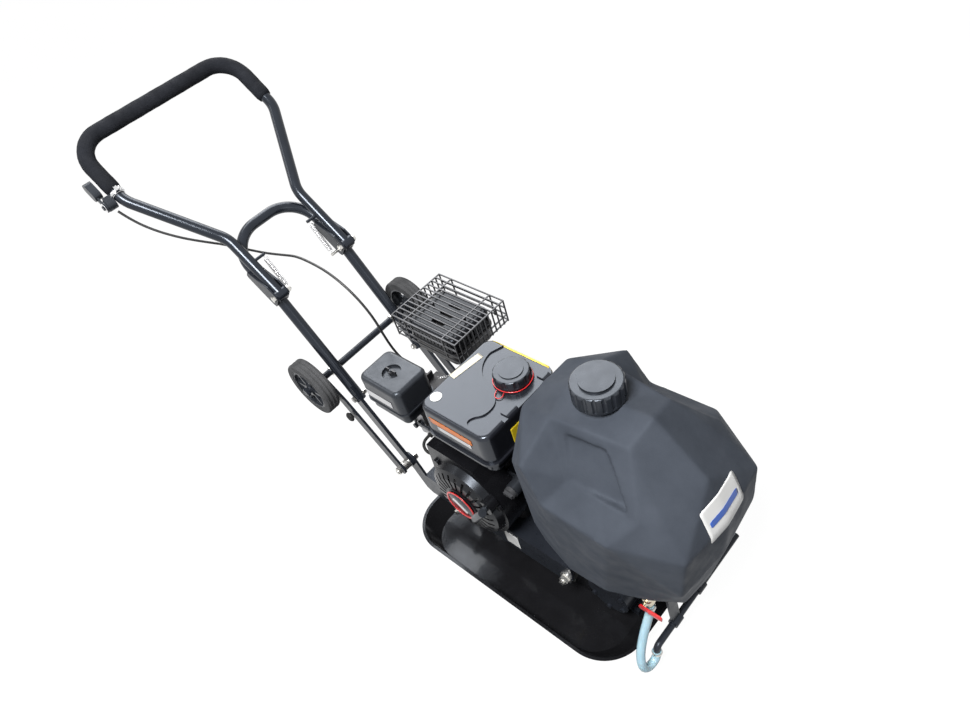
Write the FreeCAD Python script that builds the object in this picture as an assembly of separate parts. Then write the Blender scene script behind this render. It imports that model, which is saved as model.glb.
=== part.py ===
"""Walk-behind plate compactor with folding handle, water tank and four-stroke engine.

Millimetres.  The origin is the centre of the sole of the base plate.
+X points forwards (water tank), +Y to the operator's left (belt side), +Z up.
"""
import FreeCAD, Part
import math
import os

V = FreeCAD.Vector
X_AXIS, Y_AXIS, Z_AXIS = V(1, 0, 0), V(0, 1, 0), V(0, 0, 1)
ORIGIN = V(0, 0, 0)

# ---- base plate -------------------------------------------------------------
PLATE_LENGTH = 612.0
PLATE_WIDTH = 400.0
PLATE_FLOOR = 8.0
RIM_HEIGHT = 45.0
RIM_WALL = 7.0
RIM_CORNER = 95.0
END_RISE = 48.0            # how far each end of the sole curves forward to the rim
SIDE_FLARE = 14.0

# ---- engine deck on its rubber mounts ---------------------------------------
DECK_TOP = 148.0
DECK_THICK = 6.0
DECK_HALF_WIDTH = 99.0
DECK_REAR, DECK_FRONT = -300.0, 137.0
DECK_FLANGE_LOW = 78.0
MOUNT_X = (-195.0, 118.0)
MOUNT_Z = 100.0
MOUNT_RADIUS = 20.0
MOUNT_BOLT_R = 6.0
LUG_INNER_Y, LUG_THICK = 56.0, 8.0
LUG_HALF_LENGTH = 25.0

# ---- exciter ----------------------------------------------------------------
EXCITER_X, EXCITER_Z = 205.0, 80.0
EXCITER_RADIUS = 50.0
EXCITER_CAVITY_R = 42.0
EXCITER_HALF = 66.0
EXCITER_COVER = 10.0
BEARING_OUTER_R, BEARING_WIDTH = 31.0, 16.0
EXCITER_SHAFT_R = 12.5
ECCENTRIC_R, ECCENTRIC_HALF = 38.0, 40.0
RUNNING_GAP = 0.05         # radial clearance of every running fit
SOFT_GAP = 0.3             # curved faces of different bodies stay this far apart

# ---- engine -----------------------------------------------------------------
CRANK_X, CRANK_Z = -90.0, 260.0
CRANK_R = 10.0
CASE_REAR, CASE_FRONT = -165.0, -18.0
CASE_NEAR_Y, CASE_FAR_Y = -60.0, 92.0
CASE_TOP = 345.0
CASE_COVER = 12.0
ENGINE_BOLT_X, ENGINE_BOLT_Y = 75.5, 2 * (DECK_HALF_WIDTH - 18.0)
ENGINE_BOLT_Y_MID = 0.0
CYLINDER_TILT = 25.0
FIN_PITCH, FIN_THICK, FIN_COUNT = 9.0, 3.2, 8
FLYWHEEL_R, FAN_R = 84.0, 92.0
BLOWER_R = 104.0
BLOWER_INNER_Y, BLOWER_OUTER_Y = -62.0, -120.0
STARTER_R = 96.0
STARTER_OUTER_Y = -150.0
SHEET = 2.0                # pressed steel covers

# ---- fuel tank --------------------------------------------------------------
FUEL_X = (-171.0, 13.0)
FUEL_Y = (-109.0, 106.0)
FUEL_BOTTOM, FUEL_SEAM, FUEL_TOP = 384.0, 419.0, 496.0
FUEL_STEP = 3.5
FUEL_CAP_XY = (-48.0, 44.0)
FUEL_CAP_R, FUEL_CAP_HEIGHT = 38.0, 21.0

# ---- air cleaner, carburettor, muffler --------------------------------------
CLEANER_X = (-337.0, -214.0)
CLEANER_Y = (-124.0, -32.0)
CLEANER_LOW, CLEANER_SEAM, CLEANER_TOP = 404.0, 441.0, 504.0
MUFFLER_X = (-392.0, -240.0)
MUFFLER_Y = (60.0, 186.0)
MUFFLER_LOW, MUFFLER_SEAM, MUFFLER_TOP = 398.0, 440.0, 480.0
SHIELD_EDGE = 9.0          # round on the shield's upper edge
CAGE_WIRE = 2.8
CAGE_GAP = 9.0            # height of the cage above the muffler shield

# ---- belt drive -------------------------------------------------------------
BELT_MID_Y, BELT_WIDTH, BELT_DEPTH = 142.0, 13.0, 8.0
DRUM_R, PULLEY_R = 64.0, 48.0
DRUM_WIDTH, PULLEY_WIDTH = 34.0, 24.0
DRUM_INNER_R = 52.0
GUARD_INNER_Y, GUARD_OUTER_Y = 121.0, 172.0
GUARD_UPPER_R, GUARD_LOWER_R = 106.0, 68.0

# ---- water tank -------------------------------------------------------------
TANK_REAR, TANK_FRONT = 85.0, 436.0
TANK_LOW, TANK_RIDGE = 240.0, 643.0
TANK_WALL_SHARE = 0.965    # size of the hollow against the outside
WATER_CAP_X, WATER_CAP_R = 212.0, 45.0
WATER_CAP_TOP = 677.0

# ---- spray bar --------------------------------------------------------------
SPRAY_X, SPRAY_Z, SPRAY_R = 346.0, 87.0, 7.0
SPRAY_FAR_Y = 186.0
SPRAY_BRACKET_Y = (-43.0, 43.0)
HOSE_R = 8.8

# ---- handle -----------------------------------------------------------------
TUBE_R = 12.5
TUBE_WALL = 2.0
TUBE_Y = DECK_HALF_WIDTH - 1.0
PIVOT = V(-335.0, 0, 185.0)            # bolt that holds the handle and the wheel carriage
LOWER_ANGLE, UPPER_ANGLE = 58.4, 41.7  # above the horizontal, leaning back
TUBE_START = 189.0                     # pivot to the lower end of the tube
LOWER_LENGTH = 291.0
HOOP_HEIGHT, HOOP_CORNER = 168.0, 78.0
UPPER_OFFSET = 27.0                    # upper tube in front of the hoop
NECK_S, SHOULDER_S, GRIP_S = 163.0, 358.0, 512.0
GRIP_HALF = 204.0
NECK_BEND, SHOULDER_BEND, GRIP_BEND = 70.0, 70.0, 62.0
FOAM_R = 17.5
FOAM_START = 384.0
HINGE_PLATE = 4.0
HINGE_BOLT_R = 4.0

# ---- wheels -----------------------------------------------------------------
WHEEL_R, WHEEL_WIDTH, WHEEL_Y = 69.0, 34.0, 157.0
RIM_R, AXLE_R = 51.0, 8.0
AXLE_ALONG, AXLE_BEHIND = 90.0, 31.0   # along the tube from its end, and behind it
ARM_Y, ARM_THICK, ARM_WIDTH = 126.0, 6.0, 30.0

CABLE_R = 2.75


# ---- helpers ----------------------------------------------------------------
def box(x0, x1, y0, y1, z0, z1):
    return Part.makeBox(x1 - x0, y1 - y0, z1 - z0, V(x0, y0, z0))


def cyl(start, axis, radius, length):
    return Part.makeCylinder(radius, length, start, axis)


def along_y(x, z, radius, y0, y1):
    return Part.makeCylinder(radius, y1 - y0, V(x, y0, z), Y_AXIS)


def ring_y(x, z, outer, inner, y0, y1):
    return along_y(x, z, outer, y0, y1).cut(along_y(x, z, inner, y0 - 1, y1 + 1))


def upright(x, y, radius, z0, z1):
    return Part.makeCylinder(radius, z1 - z0, V(x, y, z0), Z_AXIS)


def fuse(shapes):
    shapes = list(shapes)
    return shapes[0].multiFuse(shapes[1:]).removeSplitter() if len(shapes) > 1 else shapes[0]


def cut(shape, tools):
    return shape.cut(Part.makeCompound(list(tools)))


def group(shapes):
    return Part.makeCompound(list(shapes))


def both_sides(shape):
    """The shape and its mirror image in the XZ plane."""
    return [shape, shape.mirror(ORIGIN, Y_AXIS)]


def hexagon_y(x, z, across, y0, y1):
    """Hexagonal head or nut whose axis is parallel to Y."""
    r = across / math.sqrt(3)
    pts = [V(x + r * math.cos(math.radians(60 * i)), y0, z + r * math.sin(math.radians(60 * i)))
           for i in range(7)]
    return Part.Face(Part.makePolygon(pts)).extrude(V(0, y1 - y0, 0))


def hexagon_z(x, y, across, z0, z1):
    r = across / math.sqrt(3)
    pts = [V(x + r * math.cos(math.radians(60 * i)), y + r * math.sin(math.radians(60 * i)), z0)
           for i in range(7)]
    return Part.Face(Part.makePolygon(pts)).extrude(V(0, 0, z1 - z0))


def polygon_y(points, y0, y1):
    """Plate with the given XZ outline between two Y values."""
    pts = [V(x, y0, z) for x, z in points]
    return Part.Face(Part.makePolygon(pts + pts[:1])).extrude(V(0, y1 - y0, 0))


def rounded_rectangle(half_x, half_y, radius, z):
    """Closed wire of a rectangle with round corners, centred on the Z axis."""
    edges = []
    for sx, sy, start in ((1, 1, 0), (-1, 1, 90), (-1, -1, 180), (1, -1, 270)):
        c = V(sx * (half_x - radius), sy * (half_y - radius), z)
        a, m, b = [c + V(radius * math.cos(math.radians(start + t)),
                         radius * math.sin(math.radians(start + t)), 0) for t in (0, 45, 90)]
        edges.append(Part.Arc(a, m, b).toShape())
    loop = []
    for i, edge in enumerate(edges):
        nxt = edges[(i + 1) % 4]
        loop += [edge, Part.makeLine(edge.Vertexes[-1].Point, nxt.Vertexes[0].Point)]
    return Part.Wire(loop)


def rounded_block(x0, x1, y0, y1, z0, z1, radius):
    """Box with its four upright edges rounded."""
    wire = rounded_rectangle((x1 - x0) / 2, (y1 - y0) / 2, radius, 0)
    solid = Part.Face(wire).extrude(V(0, 0, z1 - z0))
    solid.translate(V((x0 + x1) / 2, (y0 + y1) / 2, z0))
    return solid


def round_path(points, radii):
    """Wire of straight runs joined by tangent arcs; radii has one value per inner point."""
    edges, start = [], points[0]
    for i in range(1, len(points) - 1):
        before = (points[i - 1] - points[i]).normalize()
        after = (points[i + 1] - points[i]).normalize()
        turn = math.pi - before.getAngle(after)
        reach = radii[i - 1] * math.tan(turn / 2)
        a, b = points[i] + before * reach, points[i] + after * reach
        bisector = (before + after).normalize()
        middle = points[i] + bisector * (radii[i - 1] / math.cos(turn / 2) - radii[i - 1])
        edges += [Part.LineSegment(start, a).toShape(), Part.Arc(a, middle, b).toShape()]
        start = b
    edges.append(Part.LineSegment(start, points[-1]).toShape())
    return Part.Wire(edges)


def sweep(points, radii, radius):
    """Round bar that follows round_path(points, radii)."""
    path = round_path(points, radii)
    circle = Part.Wire(Part.makeCircle(radius, points[0], points[1] - points[0]))
    return path.makePipeShell([circle], True, False)


def cord_radii(points):
    """Largest arc each corner of a cord's route allows."""
    radii = []
    for a, b, c in zip(points, points[1:], points[2:]):
        turn = (b - a).getAngle(c - b)
        radii.append(0.45 * min((b - a).Length, (c - b).Length) / math.tan(turn / 2))
    return radii


def cord(name, points, radius):
    radii = cord_radii(points)
    solid = sweep(points, radii, radius)
    length = round_path(points, radii).Length
    print(name, "radii", [round(r, 1) for r in radii], "length", round(length, 1),
          "volume ratio", round(solid.Volume / (math.pi * radius ** 2 * length), 4))
    return solid


def direction(angle):
    """Unit vector in the XZ plane that leans back, angle above the horizontal."""
    return V(-math.cos(math.radians(angle)), 0, math.sin(math.radians(angle)))


def normal(angle):
    """Unit vector that faces forward and up, square to direction(angle)."""
    return V(math.sin(math.radians(angle)), 0, math.cos(math.radians(angle)))


LOWER_DIR, LOWER_NORMAL = direction(LOWER_ANGLE), normal(LOWER_ANGLE)
UPPER_DIR, UPPER_NORMAL = direction(UPPER_ANGLE), normal(UPPER_ANGLE)
TUBE_END = PIVOT + LOWER_DIR * TUBE_START
KNEE = TUBE_END + LOWER_DIR * LOWER_LENGTH
HINGE = KNEE + UPPER_NORMAL * UPPER_OFFSET
AXLE = TUBE_END + LOWER_DIR * AXLE_ALONG - LOWER_NORMAL * AXLE_BEHIND


def upper_point(y, s, forward=0.0):
    """Point of the upper handle's plane: sideways y, s up from the hinge."""
    return HINGE + UPPER_DIR * s + UPPER_NORMAL * forward + V(0, y, 0)


# ---- base -------------------------------------------------------------------
def pan_loft(grow, z_low, z_high):
    def at(z):
        t = z / RIM_HEIGHT
        half_x = PLATE_LENGTH / 2 - END_RISE * (1 - t) - grow
        half_y = PLATE_WIDTH / 2 - SIDE_FLARE * (1 - t) - grow
        return rounded_rectangle(half_x, half_y, RIM_CORNER - SIDE_FLARE * (1 - t) - grow, z)
    return Part.makeLoft([at(z_low), at(z_high)], True, True)


def base_plate():
    pan = pan_loft(0, 0, RIM_HEIGHT).cut(pan_loft(RIM_WALL, PLATE_FLOOR, RIM_HEIGHT + 1))
    lugs = []
    for x in MOUNT_X:
        outer = LUG_INNER_Y + LUG_THICK
        lug = fuse([box(x - LUG_HALF_LENGTH, x + LUG_HALF_LENGTH, LUG_INNER_Y, outer,
                        PLATE_FLOOR - 1, MOUNT_Z),
                    along_y(x, MOUNT_Z, LUG_HALF_LENGTH, LUG_INNER_Y, outer)])
        lug = lug.cut(along_y(x, MOUNT_Z, MOUNT_BOLT_R, LUG_INNER_Y - 1, outer + 1))
        rib = [(x - 3, PLATE_FLOOR - 1), (x + 3, PLATE_FLOOR - 1), (x + 3, 70), (x - 3, 70)]
        web = polygon_y(rib, LUG_INNER_Y - 28, LUG_INNER_Y + 1)
        slope = Part.Face(Part.makePolygon([V(x - 9, 20, 76), V(x - 9, LUG_INNER_Y + 1, 76),
                                            V(x - 9, 27, PLATE_FLOOR), V(x - 9, 20, PLATE_FLOOR),
                                            V(x - 9, 20, 76)])).extrude(V(18, 0, 0))
        lugs += both_sides(fuse([lug, web.cut(slope)]))
    return fuse([pan] + lugs)


# ---- exciter ----------------------------------------------------------------
def exciter_housing():
    x, z, half = EXCITER_X, EXCITER_Z, EXCITER_HALF
    body = along_y(x, z, EXCITER_RADIUS, -half, half)
    foot = box(x - 54, x + 52, -half + 16, half - 16, PLATE_FLOOR, PLATE_FLOOR + 14)
    saddle = box(x - 36, x + 36, -half + 16, half - 16, PLATE_FLOOR, z)
    ribs = [ring_y(x, z, EXCITER_RADIUS + 4, EXCITER_RADIUS - 1, y - 3, y + 3)
            for y in (-24, 0, 24)]
    cavity = along_y(x, z, EXCITER_CAVITY_R, -half + BEARING_WIDTH + 2, half - BEARING_WIDTH - 2)
    bores = along_y(x, z, BEARING_OUTER_R, -half - 1, half + 1)
    holes = [upright(x + sx * 44, sy * 36, 5.5, 0, 40) for sx in (-1, 1) for sy in (-1, 1)]
    return cut(fuse([body, foot, saddle] + ribs), [cavity, bores] + holes)


def exciter_covers():
    x, z, y = EXCITER_X, EXCITER_Z, EXCITER_HALF
    far = along_y(x, z, EXCITER_RADIUS, y, y + EXCITER_COVER)
    far = far.fuse(ring_y(x, z, BEARING_OUTER_R, BEARING_OUTER_R - 8, y - 2, y))
    near = far.mirror(ORIGIN, Y_AXIS)
    far = far.cut(along_y(x, z, EXCITER_SHAFT_R + 1.5, y - 5, y + 20))
    far = far.fuse(ring_y(x, z, EXCITER_SHAFT_R + 9, EXCITER_SHAFT_R + 1.5, y + 8, y + 16))
    heads = []
    for i in range(6):
        a = math.radians(60 * i + 30)
        px, pz = x + 41 * math.cos(a), z + 41 * math.sin(a)
        heads += both_sides(hexagon_y(px, pz, 10, y + EXCITER_COVER, y + EXCITER_COVER + 5))
    far = fuse([far] + [h for h in heads if h.BoundBox.YMin > 0])
    near = fuse([near] + [h for h in heads if h.BoundBox.YMin < 0])
    return [far, near]


def exciter_bearings():
    x, z = EXCITER_X, EXCITER_Z
    y1 = EXCITER_HALF - 2
    ring = ring_y(x, z, BEARING_OUTER_R, EXCITER_SHAFT_R + RUNNING_GAP, y1 - BEARING_WIDTH, y1)
    groove = ring_y(x, z, BEARING_OUTER_R - 5, EXCITER_SHAFT_R + 5, y1 - 2, y1 + 1)
    return group(both_sides(ring.cut(groove)))


def exciter_shaft():
    x, z = EXCITER_X, EXCITER_Z
    shaft = along_y(x, z, EXCITER_SHAFT_R, -EXCITER_HALF + 2, BELT_MID_Y + PULLEY_WIDTH / 2 + 4)
    mass = along_y(x, z, ECCENTRIC_R, -ECCENTRIC_HALF, ECCENTRIC_HALF)
    mass = mass.cut(box(x - 60, x + 60, -60, 60, z + 4, z + 60))
    return fuse([shaft, mass])


def belt_groove(x, z, radius, clearance=0.4):
    """Ring-shaped V groove for the belt, cut from a wheel of the given radius."""
    half, deep = BELT_WIDTH / 2 + clearance, BELT_DEPTH + SOFT_GAP
    pts = [V(x + radius + 1, BELT_MID_Y - half - 0.5, z), V(x + radius - deep, BELT_MID_Y - half + 2.2, z),
           V(x + radius - deep, BELT_MID_Y + half - 2.2, z), V(x + radius + 1, BELT_MID_Y + half + 0.5, z)]
    face = Part.Face(Part.makePolygon(pts + pts[:1]))
    return face.revolve(V(x, 0, z), Y_AXIS, 360)


def exciter_pulley():
    x, z, w = EXCITER_X, EXCITER_Z, PULLEY_WIDTH / 2
    wheel = along_y(x, z, PULLEY_R, BELT_MID_Y - w, BELT_MID_Y + w)
    hub = along_y(x, z, 20, BELT_MID_Y - w - 12, BELT_MID_Y + w)
    recess = ring_y(x, z, PULLEY_R - 14, 21, BELT_MID_Y + w - 7, BELT_MID_Y + w + 1)
    bore = along_y(x, z, EXCITER_SHAFT_R, 0, 300)
    return cut(fuse([wheel, hub]), [recess, bore, belt_groove(x, z, PULLEY_R)])


# ---- deck -------------------------------------------------------------------
def rubber_mounts():
    outer = LUG_INNER_Y + LUG_THICK
    inner_face = DECK_HALF_WIDTH - DECK_THICK
    mounts = []
    for x in MOUNT_X:
        profile = [V(x + MOUNT_BOLT_R, outer, MOUNT_Z), V(x + MOUNT_RADIUS, outer, MOUNT_Z)]
        mid = V(x + MOUNT_RADIUS - 3, (outer + inner_face) / 2, MOUNT_Z)
        side = Part.Arc(profile[1], mid, V(x + MOUNT_RADIUS, inner_face, MOUNT_Z)).toShape()
        edges = [Part.makeLine(*profile), side,
                 Part.makeLine(V(x + MOUNT_RADIUS, inner_face, MOUNT_Z),
                               V(x + MOUNT_BOLT_R, inner_face, MOUNT_Z)),
                 Part.makeLine(V(x + MOUNT_BOLT_R, inner_face, MOUNT_Z), profile[0])]
        solid = Part.Face(Part.Wire(edges)).revolve(V(x, 0, MOUNT_Z), Y_AXIS, 360)
        mounts += both_sides(solid)
    return group(mounts)


def deck_bolts():
    """Bolts of the rubber mounts and of the engine's feet."""
    bolts = []
    for x in MOUNT_X:
        shank = along_y(x, MOUNT_Z, MOUNT_BOLT_R, LUG_INNER_Y - 9, DECK_HALF_WIDTH + 18)
        nut = hexagon_y(x, MOUNT_Z, 19, LUG_INNER_Y - 8, LUG_INNER_Y)
        washer = along_y(x, MOUNT_Z, 15, DECK_HALF_WIDTH, DECK_HALF_WIDTH + 2.5)
        head = hexagon_y(x, MOUNT_Z, 19, DECK_HALF_WIDTH + 2.5, DECK_HALF_WIDTH + 12)
        bolts += both_sides(fuse([shank, nut, washer, head]))
    for x, y in engine_bolt_places():
        head = hexagon_z(x, y, 13, DECK_TOP + 14, DECK_TOP + 20)
        shank = upright(x, y, 4, DECK_TOP - DECK_THICK - 8, DECK_TOP + 15)
        nut = hexagon_z(x, y, 13, DECK_TOP - DECK_THICK - 7, DECK_TOP - DECK_THICK)
        bolts.append(fuse([head, shank, nut]))
    return group(bolts)


def engine_bolt_places():
    return [(CRANK_X + sx * ENGINE_BOLT_X / 2, ENGINE_BOLT_Y_MID + sy * ENGINE_BOLT_Y / 2)
            for sx in (-1, 1) for sy in (-1, 1)]


def engine_deck():
    w, t = DECK_HALF_WIDTH, DECK_THICK
    top = box(DECK_REAR, DECK_FRONT, -w, w, DECK_TOP - t, DECK_TOP)
    window = rounded_block(-150, -30, -45, 62, DECK_TOP - t - 1, DECK_TOP + 1, 12)
    rear_window = rounded_block(DECK_REAR + 24, -195, -60, 60, DECK_TOP - t - 1, DECK_TOP + 1, 12)
    holes = [upright(x, y, 4, DECK_TOP - t - 1, DECK_TOP + 1) for x, y in engine_bolt_places()]
    flange = polygon_y([(DECK_REAR, DECK_TOP), (DECK_FRONT, DECK_TOP), (DECK_FRONT, MOUNT_Z + 8),
                        (DECK_FRONT - 12, DECK_FLANGE_LOW), (DECK_REAR, DECK_FLANGE_LOW)], w - t, w)
    ear = fuse([polygon_y([(DECK_REAR - 16, DECK_FLANGE_LOW + 10), (DECK_REAR + 1, DECK_FLANGE_LOW),
                           (DECK_REAR + 1, DECK_TOP), (PIVOT.x + 19, PIVOT.z + 7),
                           (PIVOT.x - 19, PIVOT.z - 7)], w - t, w),
                along_y(PIVOT.x, PIVOT.z, 20, w - t, w)])
    ear = ear.cut(along_y(PIVOT.x, PIVOT.z, MOUNT_BOLT_R, w - t - 1, w + 1))
    side = fuse([flange, ear])
    side = cut(side, [along_y(x, MOUNT_Z, MOUNT_BOLT_R, w - t - 1, w + 1) for x in MOUNT_X])
    return cut(fuse([top] + both_sides(side)), [window, rear_window] + holes)


# ---- engine -----------------------------------------------------------------
def crankcase():
    body = rounded_block(CASE_REAR, CASE_FRONT, CASE_NEAR_Y, CASE_FAR_Y, DECK_TOP, CASE_TOP, 16)
    feet = [rounded_block(x - 16, x + 16, y - 14, y + 14, DECK_TOP, DECK_TOP + 14, 10)
            for x, y in engine_bolt_places()]
    rails = [box(x - 12, x + 12, ENGINE_BOLT_Y_MID - ENGINE_BOLT_Y / 2,
                 ENGINE_BOLT_Y_MID + ENGINE_BOLT_Y / 2, DECK_TOP, DECK_TOP + 14)
             for x in (CRANK_X - ENGINE_BOLT_X / 2, CRANK_X + ENGINE_BOLT_X / 2)]
    cover = polygon_y([(CASE_REAR + 14, DECK_TOP + 22), (CASE_FRONT - 10, DECK_TOP + 22),
                       (CASE_FRONT - 2, CRANK_Z + 20), (CRANK_X + 30, CASE_TOP - 8),
                       (CRANK_X - 40, CASE_TOP - 8), (CASE_REAR + 4, CRANK_Z + 20)],
                      CASE_FAR_Y - 1, CASE_FAR_Y + CASE_COVER)
    boss = along_y(CRANK_X, CRANK_Z, 30, CASE_FAR_Y, CASE_FAR_Y + CASE_COVER + 5)
    neck = cyl(V(CASE_FRONT - 6, 30, DECK_TOP + 48), V(1, 0, 0.8), 15, 26)
    posts = [upright(x, y, 8, CASE_TOP - 2, FUEL_BOTTOM)
             for x, y in ((CASE_FRONT - 24, -40), (CASE_FRONT - 24, 70), (CASE_REAR + 24, 70))]
    ribs = [box(CASE_FRONT - 2, CASE_FRONT + 4, y - 2, y + 2, DECK_TOP + 14, CASE_TOP - 30)
            for y in (-36, -8, 66)]
    bolts = [hexagon_y(x, z, 10, CASE_FAR_Y + CASE_COVER - 1, CASE_FAR_Y + CASE_COVER + 5)
             for x, z in ((CASE_REAR + 24, DECK_TOP + 32), (CASE_FRONT - 20, DECK_TOP + 32),
                          (CASE_FRONT - 14, CRANK_Z + 12), (CASE_REAR + 16, CRANK_Z + 12),
                          (CRANK_X + 24, CASE_TOP - 18), (CRANK_X - 34, CASE_TOP - 18))]
    bore = along_y(CRANK_X, CRANK_Z, CRANK_R + RUNNING_GAP, -200, 200)
    holes = [upright(x, y, 4, DECK_TOP - 1, DECK_TOP + 15) for x, y in engine_bolt_places()]
    holes += [box(x - 11, x + 11, y - 11, CASE_FAR_Y + 1, DECK_TOP + 14, DECK_TOP + 21.5)
              for x, y in engine_bolt_places() if y > 0]
    return cut(fuse([body, cover, boss, neck] + feet + rails + posts + ribs + bolts), [bore] + holes)


def tilted_block(start, length, half_width, y0, y1):
    """Block on the cylinder's axis, from start to start + length away from the crankshaft."""
    u, w = direction(CYLINDER_TILT), normal(CYLINDER_TILT)
    origin = V(CRANK_X, 0, CRANK_Z)
    corners = [origin + u * s + w * t for s, t in ((start, -half_width), (start + length, -half_width),
                                                 (start + length, half_width), (start, half_width))]
    return polygon_y([(c.x, c.z) for c in corners], y0, y1)


CYL_NEAR_Y, CYL_FAR_Y = -34.0, 72.0
CYL_START = 84.0
HEAD_START = CYL_START + FIN_PITCH * FIN_COUNT
HEAD_LENGTH, ROCKER_LENGTH = 24.0, 28.0


def cylinder_head():
    """Finned barrel and head, cut off flat where they meet the crankcase."""
    mid_y = (CYL_NEAR_Y + CYL_FAR_Y) / 2
    core = tilted_block(40, HEAD_START - 40 + HEAD_LENGTH, 36, mid_y - 36, mid_y + 36)
    fins = [tilted_block(CYL_START + i * FIN_PITCH, FIN_THICK, 56, CYL_NEAR_Y, CYL_FAR_Y)
            for i in range(FIN_COUNT + 2)]
    head = tilted_block(HEAD_START + 10, HEAD_LENGTH - 10, 44, CYL_NEAR_Y + 4, CYL_FAR_Y - 4)
    shape = fuse([core, head] + fins)
    return shape.cut(box(CASE_REAR, 200, -200, 200, 0, 600))


def rocker_cover():
    start = HEAD_START + HEAD_LENGTH
    flange = tilted_block(start, 4, 44, CYL_NEAR_Y + 4, CYL_FAR_Y - 4)
    dome = tilted_block(start + 3, ROCKER_LENGTH - 3, 36, CYL_NEAR_Y + 12, CYL_FAR_Y - 12)
    edges = [e for e in dome.Edges if e.CenterOfMass.x < min(v.X for v in dome.Vertexes) + 24]
    return fuse([flange, dome.makeFillet(7, edges)])


def spark_plug_cap():
    """Rubber plug cap on the near side of the head."""
    u = direction(CYLINDER_TILT)
    seat = V(CRANK_X, CYL_NEAR_Y - SOFT_GAP, CRANK_Z) + u * (HEAD_START + 9)
    seat = seat - normal(CYLINDER_TILT) * 34
    sleeve = cyl(seat, V(0, -1, 0), 9, 18)
    elbow = cyl(seat + V(0, -14, 0), V(-0.3, -1, -0.5), 7, 20)
    return fuse([sleeve, elbow])


def crankshaft():
    long = along_y(CRANK_X, CRANK_Z, CRANK_R, -134, BELT_MID_Y + DRUM_WIDTH / 2 + 3)
    nut = hexagon_y(CRANK_X, CRANK_Z, 22, -132, -122)
    return fuse([long, nut])


def flywheel():
    x, z = CRANK_X, CRANK_Z
    disc = along_y(x, z, FLYWHEEL_R, -96, -66)
    hub = along_y(x, z, 26, -112, -66)
    hollow = ring_y(x, z, FLYWHEEL_R - 12, 27, -82, -65)
    blades = []
    for i in range(14):
        blade = box(x + 44, x + FAN_R, -116, -95, z - 1.5, z + 1.5)
        blade.rotate(V(x, 0, z), Y_AXIS, 360 / 14 * i)
        blades.append(blade)
    bore = along_y(x, z, CRANK_R, -140, 0)
    return cut(fuse([disc, hub] + blades), [hollow, bore])


def blower_outline(grow, y0, y1):
    """Fan scroll: a circle about the crankshaft that opens up and back towards the barrel."""
    x, z, r = CRANK_X, CRANK_Z, BLOWER_R + grow
    circle = along_y(x, z, r, y0, y1)
    duct = polygon_y([(x - r, z + 4), (x - 92 - grow, FUEL_BOTTOM - 12), (x + 40, FUEL_BOTTOM - 12),
                      (x + r - 8, z + 40), (x, z)], y0, y1)
    return fuse([circle, duct])


def blower_housing():
    outer = blower_outline(0, BLOWER_OUTER_Y, BLOWER_INNER_Y)
    inner = blower_outline(-SHEET, BLOWER_OUTER_Y + SHEET, BLOWER_INNER_Y + 1)
    inner = inner.common(box(CRANK_X - 200, CRANK_X + 200, -200, 0, DECK_TOP + 2, FUEL_BOTTOM - 14))
    mouth = along_y(CRANK_X, CRANK_Z, 88, BLOWER_OUTER_Y - 1, BLOWER_OUTER_Y + 10)
    shell = cut(outer, [inner, mouth])
    below = box(CRANK_X - 200, CRANK_X + 200, -200, 0, 0, DECK_TOP + 22)
    return shell.cut(below)


def starter_cover():
    """Domed recoil cover with radial louvres around a raised middle."""
    x, z = CRANK_X, CRANK_Z
    y_in, y_out = BLOWER_OUTER_Y, STARTER_OUTER_Y
    profile = [V(x, y_out, z), V(x + 36, y_out, z), V(x + 42, y_out + 4, z), V(x + 70, y_out + 6, z),
               V(x + STARTER_R - 6, y_out + 14, z), V(x + STARTER_R, y_in, z),
               V(x + STARTER_R - SHEET, y_in, z), V(x + STARTER_R - 8, y_out + 15, z),
               V(x + 70, y_out + 8, z), V(x + 42, y_out + 6, z), V(x + 36, y_out + SHEET, z),
               V(x, y_out + SHEET, z)]
    dome = Part.Face(Part.makePolygon(profile + profile[:1])).revolve(V(x, 0, z), Y_AXIS, 360)
    slots = []
    for i in range(24):
        slot = box(x + 46, x + 82, y_out - 2, y_out + 24, z - 3.2, z + 3.2)
        slot.rotate(V(x, 0, z), Y_AXIS, 15 * i)
        slots.append(slot)
    grip_seat = along_y(x + STARTER_R - 18, z + 46, 17, y_out + 6, y_in)
    grip_seat = grip_seat.cut(along_y(x, z, STARTER_R - 8, -200, 0))
    ears = [along_y(x + 100 * math.cos(a), z + 100 * math.sin(a), 8, y_in - 6, y_in)
            .cut(along_y(x, z, STARTER_R - 3, -200, 0))
            for a in (math.radians(20), math.radians(140), math.radians(262))]
    return fuse([cut(dome, slots), grip_seat] + ears)




def starter_grip():
    """T handle of the recoil rope, pulled outwards and up."""
    seat = V(CRANK_X + STARTER_R - 18, STARTER_OUTER_Y + 6, CRANK_Z + 46)
    stem = cyl(seat + V(0, -SOFT_GAP, 0), V(0, -1, 0), 7, 14)
    bar = Part.makeCylinder(8.5, 58, seat + V(-16, -20, -22), V(16 * 2, 0, 44).normalize())
    return fuse([stem, bar])


def fuel_shell(z0, z1, grow=0.0, corner=24.0):
    return rounded_block(FUEL_X[0] - grow, FUEL_X[1] + grow, FUEL_Y[0] - grow, FUEL_Y[1] + grow,
                         z0, z1, corner + grow)


def ring_z(x, y, outer, inner, z0, z1):
    return upright(x, y, outer, z0, z1).cut(upright(x, y, inner, z0 - 1, z1 + 1))


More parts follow.
